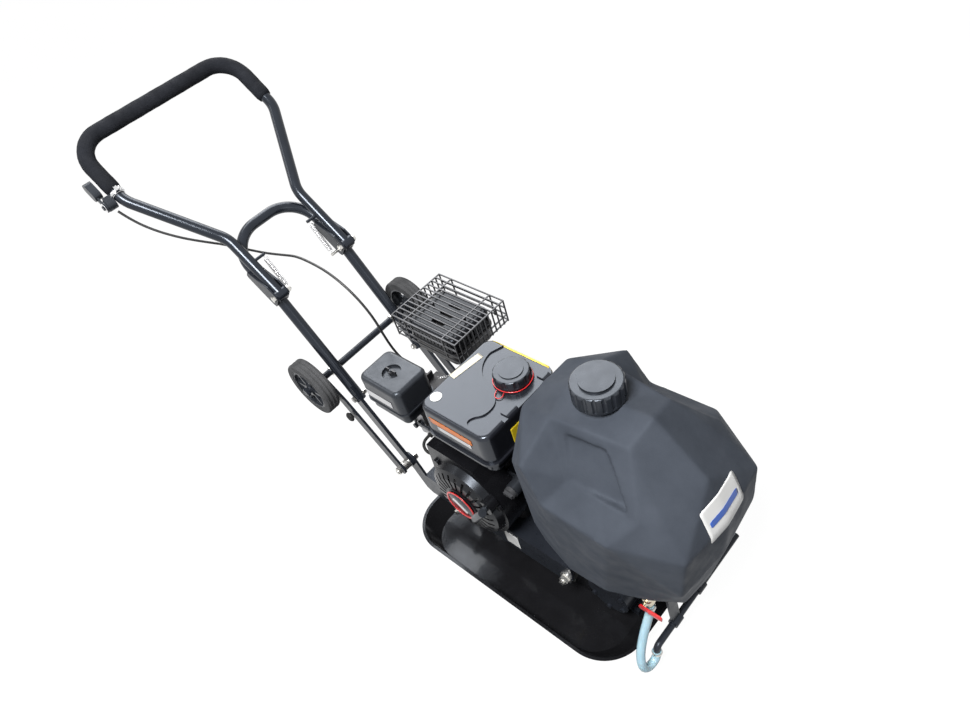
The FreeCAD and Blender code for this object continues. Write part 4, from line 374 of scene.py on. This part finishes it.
def tube_mesh(name, line, radius, mat, body, sides=14, radius_at=None):
    """Mesh tube round a line of points, closed at both ends.  radius_at gives the radius at each point."""
    verts = []
    n = len(line)
    tangent = (line[1] - line[0]).normalized()
    side = tangent.cross(UP)
    if side.length < 0.1:
        side = tangent.cross(ACROSS)
    side.normalize()
    for i, p in enumerate(line):
        a, b = line[max(i - 1, 0)], line[min(i + 1, n - 1)]
        t = (b - a).normalized()
        side = (side - t * side.dot(t)).normalized()
        other = t.cross(side)
        r = radius_at(i, n) if radius_at else radius
        for k in range(sides):
            ang = 2 * math.pi * k / sides
            verts.append(p + side * (r * math.cos(ang)) + other * (r * math.sin(ang)))
    faces = bands(n, sides)
    faces.append(tuple(reversed(range(sides))))
    faces.append(tuple(range((n - 1) * sides, n * sides)))
    return mesh_piece(name, verts, faces, mat, body)


def plate(name, centre, u, v, half_u, half_v, mat, body, corner, thick=0.0006):
    """Thin plate with round corners: u and v span its plane, and it stands off along u x v."""
    u, v = V(u).normalized(), V(v)
    n = u.cross(v).normalized()
    v = n.cross(u).normalized()
    c = V(centre) + n * STICKER_LIFT
    ring = []
    for sx, sy, start in ((1, 1, 0), (-1, 1, 90), (-1, -1, 180), (1, -1, 270)):
        for k in range(5):
            a = math.radians(start + 22.5 * k)
            ring.append(c + u * (sx * (half_u - corner) + corner * math.cos(a))
                        + v * (sy * (half_v - corner) + corner * math.sin(a)))
    count = len(ring)
    verts = ring + [p + n * thick for p in ring]
    faces = [tuple(reversed(range(count))), tuple(range(count, 2 * count))]
    faces += [(i, (i + 1) % count, count + (i + 1) % count, count + i) for i in range(count)]
    return mesh_piece(name, verts, faces, mat, body, smooth=False)


def surface_of(obj):
    """Search tree over an object as it is shown, with its rounded edges."""
    shown = obj.evaluated_get(bpy.context.evaluated_depsgraph_get())
    me = shown.to_mesh()
    verts = [obj.matrix_world @ v.co for v in me.vertices]
    tree = BVHTree.FromPolygons(verts, [tuple(p.vertices) for p in me.polygons])
    shown.to_mesh_clear()
    return tree


def decal(name, under, centre, n, u, half_u, half_v, mat, corner, lift=STICKER_LIFT):
    """Sticker laid on an object: a grid with round corners is dropped on the surface along -n."""
    tree = surface_of(under)
    n, u = V(n).normalized(), V(u)
    v = n.cross(u).normalized()
    u = v.cross(n).normalized()
    verts = []
    for i in range(DECAL_STEPS + 1):
        for j in range(DECAL_STEPS + 1):
            a = (2 * i / DECAL_STEPS - 1) * half_u
            b = (2 * j / DECAL_STEPS - 1) * half_v
            over_a, over_b = abs(a) - (half_u - corner), abs(b) - (half_v - corner)
            if over_a > 0 and over_b > 0:
                far = math.hypot(over_a, over_b)
                if far > corner:
                    a = math.copysign(half_u - corner + over_a * corner / far, a)
                    b = math.copysign(half_v - corner + over_b * corner / far, b)
            flat = V(centre) + u * a + v * b
            hit = tree.ray_cast(flat + n * DECAL_DROP, -n, 3 * DECAL_DROP)[0]
            verts.append((flat if hit is None else hit) + n * lift)
    m = DECAL_STEPS + 1
    faces = [(i * m + j, (i + 1) * m + j, (i + 1) * m + j + 1, i * m + j + 1)
             for i in range(DECAL_STEPS) for j in range(DECAL_STEPS)]
    obj = mesh_piece(name, verts, faces, mat, "chassis")
    mod = obj.modifiers.new("thickness", "SOLIDIFY")
    mod.thickness = DECAL_THICK
    mod.offset = 1
    return obj


def disc(name, centre, axis, radius, thick, mat, body, inner=0.0, sides=40):
    """Round plate with a softened edge, and a hole if inner is given."""
    n = V(axis).normalized()
    u = n.orthogonal().normalized()
    w = n.cross(u)
    c = V(centre)
    profile = [(inner, 0), (radius - thick * 0.4, 0), (radius, thick * 0.4), (radius, thick * 0.7),
               (radius - thick * 0.3, thick), (inner, thick)]
    verts, faces = [], []
    for k in range(sides):
        a = 2 * math.pi * k / sides
        d = u * math.cos(a) + w * math.sin(a)
        verts += [c + d * r + n * h for r, h in profile]
    m = len(profile)
    for k in range(sides):
        k2 = (k + 1) % sides
        for i in range(m - 1):
            faces.append((k * m + i, k2 * m + i, k2 * m + i + 1, k * m + i + 1))
        if inner > 0:
            faces.append((k * m + m - 1, k2 * m + m - 1, k2 * m, k * m))
    return mesh_piece(name, verts, faces, mat, body)


# ---- shared numbers of the model --------------------------------------------------------------
def slope(angle):
    """Direction up a handle tube that leans back at this angle, and the normal in front of it."""
    a = math.radians(angle)
    return V((-math.cos(a), 0, math.sin(a))), V((math.sin(a), 0, math.cos(a)))


LOWER_DIR, LOWER_NORMAL = slope(58.4)
UPPER_DIR, UPPER_NORMAL = slope(41.7)
PIVOT = V((-0.335, 0, 0.185))
TUBE_END = PIVOT + LOWER_DIR * 0.189
KNEE = TUBE_END + LOWER_DIR * 0.291
HINGE = KNEE + UPPER_NORMAL * 0.027
AXLE = TUBE_END + LOWER_DIR * 0.090 - LOWER_NORMAL * 0.031
GRIP_HALF, TUBE_R = 204, 12.5                # middle of the machine to the grip's side tubes, mm


def upper(y, s, f=0.0):
    """Point by the upper tube, in mm: y across, s along it from the hinge, f in front of it."""
    return HINGE + UPPER_DIR * (s / 1000) + UPPER_NORMAL * (f / 1000) + V((0, y / 1000, 0))


# ---- cords --------------------------------------------------------------------------------------
# control points of the three cords; those of the hose are in mm, and the others in metres
HOSE_ROUTE = [V((322, -84, 188)), V((322, -84, 171)), V((321, -92, 152)), V((322, -108, 132)),
              V((326, -127, 113)), V((332, -144, 95)), V((339, -154, 76)), V((343, -151, 59)),
              V((345, -138, 48)), V((346, -121, 49)), V((346, -112, 61)), V((346, -112, 73))]
CABLE_UPPER = [upper(-226, 350, -10), upper(-216, 322, -20), upper(-194, 280, -27),
               upper(-165, 240, -32), upper(-134, 208, -39), upper(-106, 184, -48)]
CABLE_LOWER = [upper(-105.4, 183.4, -48.2), upper(-82, 160, -54), upper(-62, 128, -46),
               upper(-48, 94, -22)]
CABLE_LOWER += [V(p) / 1000 for p in ((-596, -38, 668), (-553, -33, 676), (-506, -30, 673),
                                      (-458, -28, 665), (-414, -26, 643), (-380, -24, 609),
                                      (-362, -21, 566), (-359, -18, 520), (-350, -15, 474),
                                      (-326, -11, 440), (-292, -8, 431), (-266.5, -6, 431))]
HOSE_R, CABLE_R = 0.0088, 0.00275


def line_length(line):
    return sum((b - a).length for a, b in zip(line, line[1:]))


def make_cords():
    hose_points = [p / 1000 for p in HOSE_ROUTE]
    hose = curve_piece("hose_blue", hose_points, HOSE_R, "hose", "chassis")
    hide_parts("water_hose")
    line_length(centreline(hose_points))
    top = curve_piece("cable_on_handle", CABLE_UPPER, CABLE_R, "cable", "upper_handle")
    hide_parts("throttle_cable_upper")
    line_length(centreline(CABLE_UPPER))
    line = centreline(CABLE_LOWER)
    low = tube_mesh("cable_to_engine", line, CABLE_R, "cable", None)
    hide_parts("throttle_cable_lower")
    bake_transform(low)


make_cords()


# ---- handle ---------------------------------------------------------------------------------------
ARC_STEPS = 10
FOAM_R, FOAM_SPACING = 0.0175, 0.008
FOAM_START, GRIP_TOP, GRIP_BEND = 384, 512, 0.062
SPRING_TURNS, SPRING_STEPS = 22, 12
SPRING_Y, SPRING_COIL_R, SPRING_WIRE_R = 0.066, 0.0052, 0.00105
SPRING_HOOK = 0.010                          # straight end of a spring, before its coil


def arc_points(points, radius):
    """Straight runs joined by tangent arcs, as a list of close points."""
    out = [points[0]]
    for before, corner, after in zip(points, points[1:], points[2:]):
        a, b = (before - corner).normalized(), (after - corner).normalized()
        turn = math.pi - a.angle(b)
        reach = radius * math.tan(turn / 2)
        centre = corner + (a + b).normalized() * (radius / math.cos(turn / 2))
        start, end = corner + a * reach - centre, corner + b * reach - centre
        axis = start.cross(end).normalized()
        for k in range(ARC_STEPS + 1):
            out.append(centre + Matrix.Rotation(turn * k / ARC_STEPS, 3, axis) @ start)
    out.append(points[-1])
    dense = []
    for p, q in zip(out, out[1:]):
        n = max(1, int((q - p).length / FOAM_SPACING))
        dense += [p.lerp(q, k / n) for k in range(n)]
    return dense + [out[-1]]


def foam():
    """Foam sleeve round the grip, soft at its ends and never quite even."""
    line = arc_points([upper(-GRIP_HALF, FOAM_START), upper(-GRIP_HALF, GRIP_TOP),
                       upper(GRIP_HALF, GRIP_TOP), upper(GRIP_HALF, FOAM_START)], GRIP_BEND)

    def radius_at(i, n):
        edge = min(i, n - 1 - i)
        soft = FOAM_R * (0.86 + 0.14 * min(1, edge / 1.2) ** 0.5)
        return soft + 0.00018 * math.sin(i * 0.9) + 0.00012 * math.sin(i * 2.3 + 1)
    grip = tube_mesh("foam_sleeve", line, FOAM_R, "foam", None, sides=28, radius_at=radius_at)
    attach(grip, "upper_handle")
    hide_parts("foam_grip")


foam()


def springs():
    """Two coiled springs from the hinge plates to the upper tube."""
    low = HINGE + UPPER_DIR * 0.006 - UPPER_NORMAL * 0.029
    run = upper(0, 92) - low
    unit = run.normalized()
    outward = unit.cross(ACROSS)
    coil = run.length - 2 * SPRING_HOOK
    for side in (-1, 1):
        start = low + V((0, side * SPRING_Y, 0))
        pts = [start + unit * 0.001, start + unit * 0.006]
        for k in range(SPRING_TURNS * SPRING_STEPS + 1):
            t = k / (SPRING_TURNS * SPRING_STEPS)
            ang = 2 * math.pi * SPRING_TURNS * t
            off = (ACROSS * math.cos(ang) + outward * math.sin(ang)) * SPRING_COIL_R
            pts.append(start + unit * (SPRING_HOOK + coil * t) + off)
        pts += [start + unit * (run.length - 0.006), start + unit * (run.length - 0.001)]
        name = "spring_left" if side > 0 else "spring_right"
        coil_obj = tube_mesh(name, pts, SPRING_WIRE_R, "chrome", None, sides=8)
        if side > 0:
            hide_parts("fold_springs")
        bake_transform(coil_obj)


springs()


def throttle_trim():
    """Bright pinch band round the tube beside the foam, with its screw."""
    c = upper(-GRIP_HALF, 371.5)
    disc("throttle_band", c, UPPER_DIR, 0.0172, 0.011, "chrome", "upper_handle", inner=0.0155, sides=48)
    lug = c + UPPER_DIR * 0.0055 + UPPER_NORMAL * 0.0205
    plate("throttle_lug", lug - V((0, 0.004, 0)), UPPER_DIR, UPPER_NORMAL, 0.0055, 0.005, "chrome",
          "upper_handle", corner=0.002, thick=0.008)
    disc("throttle_screw", lug - V((0, -0.005, 0)) + UPPER_NORMAL * 0.001, (0, 1, 0), 0.0036, 0.004,
         "chrome", "upper_handle", sides=20)


throttle_trim()


def lever_washer():
    """Bright washer on the throttle lever's pivot."""
    p = upper(-GRIP_HALF - TUBE_R - 20, 370, -8) + V((0, -0.0053, 0))
    disc("throttle_washer", p, (0, -1, 0), 0.0105, 0.0012, "chrome", "throttle_lever", inner=0.0056)


lever_washer()


# ---- wheels ---------------------------------------------------------------------------------------
TYRE_MIDDLE, RIB_SPACING = 0.157, 0.0095
RIB_PROFILE = [(0.0685, -0.0034), (0.0698, -0.0027), (0.0698, 0.0027), (0.0685, 0.0034)]
RIB_SIDES = 72


def tread():
    """Shallow ribs round each tyre."""
    m = len(RIB_PROFILE)
    for side, body in ((-1, "wheel_right"), (1, "wheel_left")):
        for k in range(3):
            verts, faces = [], []
            middle = TYRE_MIDDLE + (k - 1) * RIB_SPACING
            for i in range(RIB_SIDES):
                a = 2 * math.pi * i / RIB_SIDES
                for r, h in RIB_PROFILE:
                    verts.append(AXLE + V((r * math.cos(a), side * (middle + h), r * math.sin(a))))
            for i in range(RIB_SIDES):
                j = (i + 1) % RIB_SIDES
                faces += [(i * m + e, j * m + e, j * m + e + 1, i * m + e + 1) for e in range(m - 1)]
            rib = mesh_piece(f"tread_{body}_{k}", verts, faces, "tyre", body)


tread()


def stops():
    """Rubber bumpers screwed to the arms."""
    for side in (-1, 1):
        p = PIVOT + LOWER_DIR * 0.172 - LOWER_NORMAL * 0.016 + V((0, side * 0.136, 0))
        name = "bumper_left" if side > 0 else "bumper_right"
        disc(name, p, (0, side, 0), 0.012, 0.010, "rubber", "carriage", inner=0.003)


stops()


# ---- water tank -----------------------------------------------------------------------------------
SKY_RAYS = 16
OPEN_ENOUGH = 0.2            # a face with less open sky than this is inside the tank
TANK_VOXEL = 0.0034


def open_share(tree, face):
    """Share of the directions above a face that leave the tank without meeting it again."""
    n = face.normal
    side = n.orthogonal().normalized()
    start = face.calc_center_median() + n * 2e-4
    free = 0
    for k in range(SKY_RAYS):
        tilt = 0.25 + 0.9 * (k % 4) / 3
        d = Matrix.Rotation(2.4 * k, 3, n) @ (n * math.cos(tilt) + side * math.sin(tilt))
        free += tree.ray_cast(start, d)[0] is None
    return free / SKY_RAYS


def tank_skin():
    """Moulded skin of the tank: its outside only, with the soft edges of rotational moulding."""
    source = NODES["water_tank"]
    bm = bmesh.new()
    bm.from_mesh(source.data)
    bm.transform(source.matrix_world)
    bmesh.ops.remove_doubles(bm, verts=bm.verts, dist=1e-5)
    bm.normal_update()
    tree = BVHTree.FromBMesh(bm)
    hidden = [f for f in bm.faces if open_share(tree, f) < OPEN_ENOUGH]
    bmesh.ops.delete(bm, geom=hidden, context="FACES")
    bmesh.ops.holes_fill(bm, edges=[e for e in bm.edges if e.is_boundary], sides=0)
    bmesh.ops.triangle_fill(bm, use_beauty=True, edges=[e for e in bm.edges if e.is_boundary])
    bmesh.ops.recalc_face_normals(bm, faces=bm.faces)
    me = bpy.data.meshes.new("tank_skin")
    bm.to_mesh(me)
    bm.free()
    me.materials.append(MAT["tank"])
    skin = link(bpy.data.objects.new("tank_skin", me))
    remesh = skin.modifiers.new("remesh", "REMESH")
    remesh.mode = "VOXEL"
    remesh.voxel_size = TANK_VOXEL
    remesh.use_smooth_shade = True
    soften = skin.modifiers.new("soften", "SMOOTH")
    soften.factor = 0.5
    soften.iterations = 9
    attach(skin, "chassis")
    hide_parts("water_tank")
    return skin


TANK = tank_skin()


# ---- trim and labels ------------------------------------------------------------------------------
TANK_FRONT, TANK_LABEL_AT = V((0.937, 0, 0.35)), (0.4165, 0.006, 0.483)
FAR_SLOPE = V((0, 0.6, 0.8))
# name, piece under it, centre, outward, first side, half sizes, material, corner
STICKERS = [
    ("deck_label", "engine_deck", (-0.030, -0.099, 0.112), -ACROSS, ALONG, 0.020, 0.023, "white", 0.001),
    ("fuel_band", "fuel_tank", (-0.086, -0.109, 0.4665), -ACROSS, ALONG, 0.058, 0.0075, "orange", 0.001),
    ("fuel_notice", "fuel_tank", (-0.080, -0.109, 0.4510), -ACROSS, ALONG, 0.046, 0.0055, "silver", 0.001),
    ("fuel_yellow", "fuel_tank", (0.013, -0.030, 0.446), ALONG, ACROSS, 0.014, 0.020, "yellow", 0.001),
    ("fuel_yellow_far", "fuel_tank", (-0.075, 0.1035, 0.490), FAR_SLOPE, ALONG, 0.080, 0.0045, "yellow",
     0.001),
    ("fuel_strip", "fuel_tank", (-0.152, 0.019, 0.496), UP, (0.15, 1, 0), 0.039, 0.0085, "cream", 0.001),
    ("round_label", "fuel_tank", (-0.1487, -0.0743, 0.496), UP, ACROSS, 0.0125, 0.0125, "white", 0.0124),
    ("cleaner_strip", "air_cleaner_cover", (-0.289, -0.124, 0.462), -ACROSS, ALONG, 0.046, 0.009,
     "silver", 0.002),
]
BADGE_AT = V((-0.090, -0.1502, 0.262))


def stickers():
    """Plain patches where the real machine has its labels."""
    decal("tank_label", TANK, TANK_LABEL_AT, TANK_FRONT, ACROSS, 0.0495, 0.036, "white", 0.006,
          lift=0.0008)
    decal("tank_label_band", TANK, TANK_LABEL_AT, TANK_FRONT, ACROSS, 0.040, 0.006, "blue", 0.003,
          lift=0.0014)
    for name, under, centre, n, u, half_u, half_v, mat, corner in STICKERS:
        decal(name, NODES[under], centre, n, u, half_u, half_v, mat, corner)


def starter_badge():
    disc("starter_ring", BADGE_AT, -ACROSS, 0.039, 0.0024, "red", "chassis", inner=0.0335, sides=64)
    disc("starter_plate", BADGE_AT, -ACROSS, 0.0338, 0.0016, "gloss", "chassis", sides=64)
    plate("starter_bar", BADGE_AT + V((0, -0.0016, 0)), (1, 0, -0.72), (0.72, 0, 1), 0.022, 0.006,
          "silver", "chassis", corner=0.003)


stickers()
starter_badge()


CAP_FOOT = V((-0.048, 0.044, 0.4945))
LOOP_POINTS, LOOP_R, SEAL_WIRE_R = 40, 0.0405, 0.0011


def seal_loops():
    """Thin red loop round the fuel cap, with a tail."""
    c = CAP_FOOT
    ring = []
    for k in range(LOOP_POINTS):
        a = 2 * math.pi * k / LOOP_POINTS
        ring.append(c + V((LOOP_R * math.cos(a), LOOP_R * math.sin(a), 0.0015 + 0.001 * math.sin(3 * a))))
    curve_piece("seal_loop", ring, SEAL_WIRE_R, "red", "chassis", cyclic=True)
    tail = [c + V((x, y, 0.001)) for x, y in ((-0.005, -0.043), (-0.002, -0.055), (0.010, -0.060),
                                              (0.018, -0.050), (0.012, -0.042))]
    curve_piece("seal_tail", tail, SEAL_WIRE_R, "red", "chassis")


seal_loops()


FUEL_HOSE = [V((-0.150, -0.060, 0.390)), V((-0.170, -0.062, 0.378)), V((-0.200, -0.066, 0.372)),
             V((-0.230, -0.068, 0.372))]
KILL_WIRE = [V((0.006, -0.070, 0.322)), V((0.012, -0.055, 0.300)), V((0.002, -0.048, 0.27)),
             V((-0.010, -0.046, 0.25))]
GOVERNOR_SPRING = V((-0.236, -0.004, 0.436)), V((-0.214, 0.016, 0.436))
GOVERNOR_TURNS, GOVERNOR_COIL_R = 10, 0.0024


def engine_lines():
    """Plug lead, fuel hose, kill wire and governor spring."""
    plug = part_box("spark_plug_cap")
    p = V(((plug[0][0] + plug[1][0]) / 2, plug[0][1] + 0.006, (plug[0][2] + plug[1][2]) / 2))
    lead = [p, p + V((-0.012, -0.020, -0.010)), p + V((0.01, -0.035, -0.02)), p + V((0.05, -0.030, -0.01)),
            V((-0.165, -0.092, 0.300)), V((-0.150, -0.085, 0.315))]
    curve_piece("plug_lead", lead, 0.0035, "rubber", "chassis")
    curve_piece("fuel_hose", FUEL_HOSE, 0.0038, "rubber", "chassis")
    curve_piece("kill_wire", KILL_WIRE, 0.0017, "cable", "chassis")
    start, end = GOVERNOR_SPRING
    run = end - start
    across = run.normalized().cross(UP)
    coil = []
    for k in range(GOVERNOR_TURNS * SPRING_STEPS + 1):
        t = k / (GOVERNOR_TURNS * SPRING_STEPS)
        ang = 2 * math.pi * GOVERNOR_TURNS * t
        coil.append(start + run * t + (UP * math.cos(ang) + across * math.sin(ang)) * GOVERNOR_COIL_R)
    tube_mesh("governor_spring", coil, 0.0005, "chrome", "chassis", sides=6)


engine_lines()


def hose_clamps():
    for name, end, back in (("clamp_valve", HOSE_ROUTE[0], 0.008), ("clamp_spray", HOSE_ROUTE[-1], 0.006)):
        disc(name, end / 1000 - UP * back - UP * 0.004, UP, 0.0106, 0.008, "zinc", "chassis", inner=0.0087)


hose_clamps()


SLEEVE_SHARES = [0.55, 0.85] + [1] * 8 + [0.96, 0.80, 0.45]     # rounded off at both ends
SLEEVE_SIDES, SLEEVE_HALF_THICK = 20, 0.0034


def lever_sleeve():
    """Dipped vinyl grip on the blade of the valve's lever."""
    (x0, y0, z0), (x1, y1, z1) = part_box("valve_lever")
    y, z = (y0 + y1) / 2, (z0 + z1) / 2
    half = (z1 - z0) / 2 + 0.0008
    rings = len(SLEEVE_SHARES)
    verts = []
    for i, share in enumerate(SLEEVE_SHARES):
        p = V((x0 + 0.016 + (x1 - x0 - 0.0155) * i / (rings - 1), y, z))
        for j in range(SLEEVE_SIDES):
            a = 2 * math.pi * j / SLEEVE_SIDES
            verts.append(p + V((0, SLEEVE_HALF_THICK * share * math.cos(a), half * share * math.sin(a))))
    faces = bands(rings, SLEEVE_SIDES)
    faces += [tuple(reversed(range(SLEEVE_SIDES))), tuple(range(len(verts) - SLEEVE_SIDES, len(verts)))]
    mesh_piece("lever_sleeve", verts, faces, "red", "valve_lever")


lever_sleeve()


def starter_rope():
    """Recoil rope: a short piece by the grip, as it is at rest."""
    a = V((-0.012, -0.142, 0.306))
    line = [a + V((0, -0.004 - 0.014 * k / 20, 0)) for k in range(21)]
    rope = tube_mesh("starter_rope", line, 0.0022, "white", None, sides=8)
    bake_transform(rope)


starter_rope()


# ---- floor, light ---------------------------------------------------------------------------------
FLOOR_HALF, FLOOR_Z = 14.0, -0.0005
FLOOR_GREY, FLOOR_GLOW = 0.08, 0.97
WORLD_DIM = 0.08             # strength of the world where nothing sees it straight


def seen_ray(t):
    """1 for camera, glossy and transmission rays, so metal shows the same white as the camera sees."""
    path = t.nodes.new("ShaderNodeLightPath")
    out = path.outputs["Is Camera Ray"]
    for ray in ("Is Glossy Ray", "Is Transmission Ray"):
        either = t.nodes.new("ShaderNodeMath")
        either.operation = "MAXIMUM"
        t.links.new(out, either.inputs[0])
        t.links.new(path.outputs[ray], either.inputs[1])
        out = either.outputs[0]
    return out


def emission(t, strength):
    node = t.nodes.new("ShaderNodeEmission")
    node.inputs["Color"].default_value = (1, 1, 1, 1)
    node.inputs["Strength"].default_value = strength
    return node


def floor():
    """White floor: lit dimly, and it glows only where it is seen."""
    me = bpy.data.meshes.new("floor")
    h, z = FLOOR_HALF, FLOOR_Z
    me.from_pydata([(-h, -h, z), (h, -h, z), (h, h, z), (-h, h, z)], [], [(0, 1, 2, 3)])
    obj = link(bpy.data.objects.new("floor", me))
    m, t, p = new_material("floor_white")
    p.inputs["Base Color"].default_value = (FLOOR_GREY, FLOOR_GREY, FLOOR_GREY, 1)
    p.inputs["Roughness"].default_value = 0.9
    p.inputs["Specular IOR Level"].default_value = 0.1
    mix = t.nodes.new("ShaderNodeMixShader")
    add = t.nodes.new("ShaderNodeAddShader")
    t.links.new(seen_ray(t), mix.inputs["Fac"])
    t.links.new(emission(t, 0.0).outputs[0], mix.inputs[1])
    t.links.new(emission(t, FLOOR_GLOW).outputs[0], mix.inputs[2])
    t.links.new(p.outputs[0], add.inputs[0])
    t.links.new(mix.outputs[0], add.inputs[1])
    t.links.new(add.outputs[0], t.nodes["Material Output"].inputs["Surface"])
    me.materials.append(m)


floor()


def area(name, place, target, size, power):
    """Rectangular lamp at a place, turned to a target."""
    data = bpy.data.lights.new(name, "AREA")
    data.shape = "RECTANGLE"
    data.size, data.size_y = size
    data.energy = power
    obj = link(bpy.data.objects.new(name, data))
    d = V(target) - V(place)
    obj.matrix_world = Matrix.Translation(place) @ d.to_track_quat("-Z", "Y").to_matrix().to_4x4()
    return obj


def light():
    area("key", (0.5, -1.4, 3.1), (0.1, 0, 0.45), (1.0, 1.0), 165)
    area("front", (2.7, -0.7, 1.5), (0, 0, 0.4), (1.0, 1.4), 6)
    area("rear", (-2.4, -1.4, 2.4), (-0.4, 0, 0.5), (1.0, 1.0), 12)
    sky = area("sky", (-2.1, 1.45, 2.6), (-0.1, 0, 0.4), (2.6, 2.6), 130)
    sky.visible_diffuse = False
    world = bpy.data.worlds.new("studio")
    world.use_nodes = True
    t = world.node_tree
    bg = t.nodes["Background"]
    bg.inputs["Color"].default_value = (1, 1, 1, 1)
    m = t.nodes.new("ShaderNodeMapRange")
    m.inputs["To Min"].default_value = WORLD_DIM
    m.inputs["To Max"].default_value = 1.0
    t.links.new(seen_ray(t), m.inputs["Value"])
    t.links.new(m.outputs["Result"], bg.inputs["Strength"])
    bpy.context.scene.world = world
    bpy.context.scene.view_settings.view_transform = "Standard"


light()
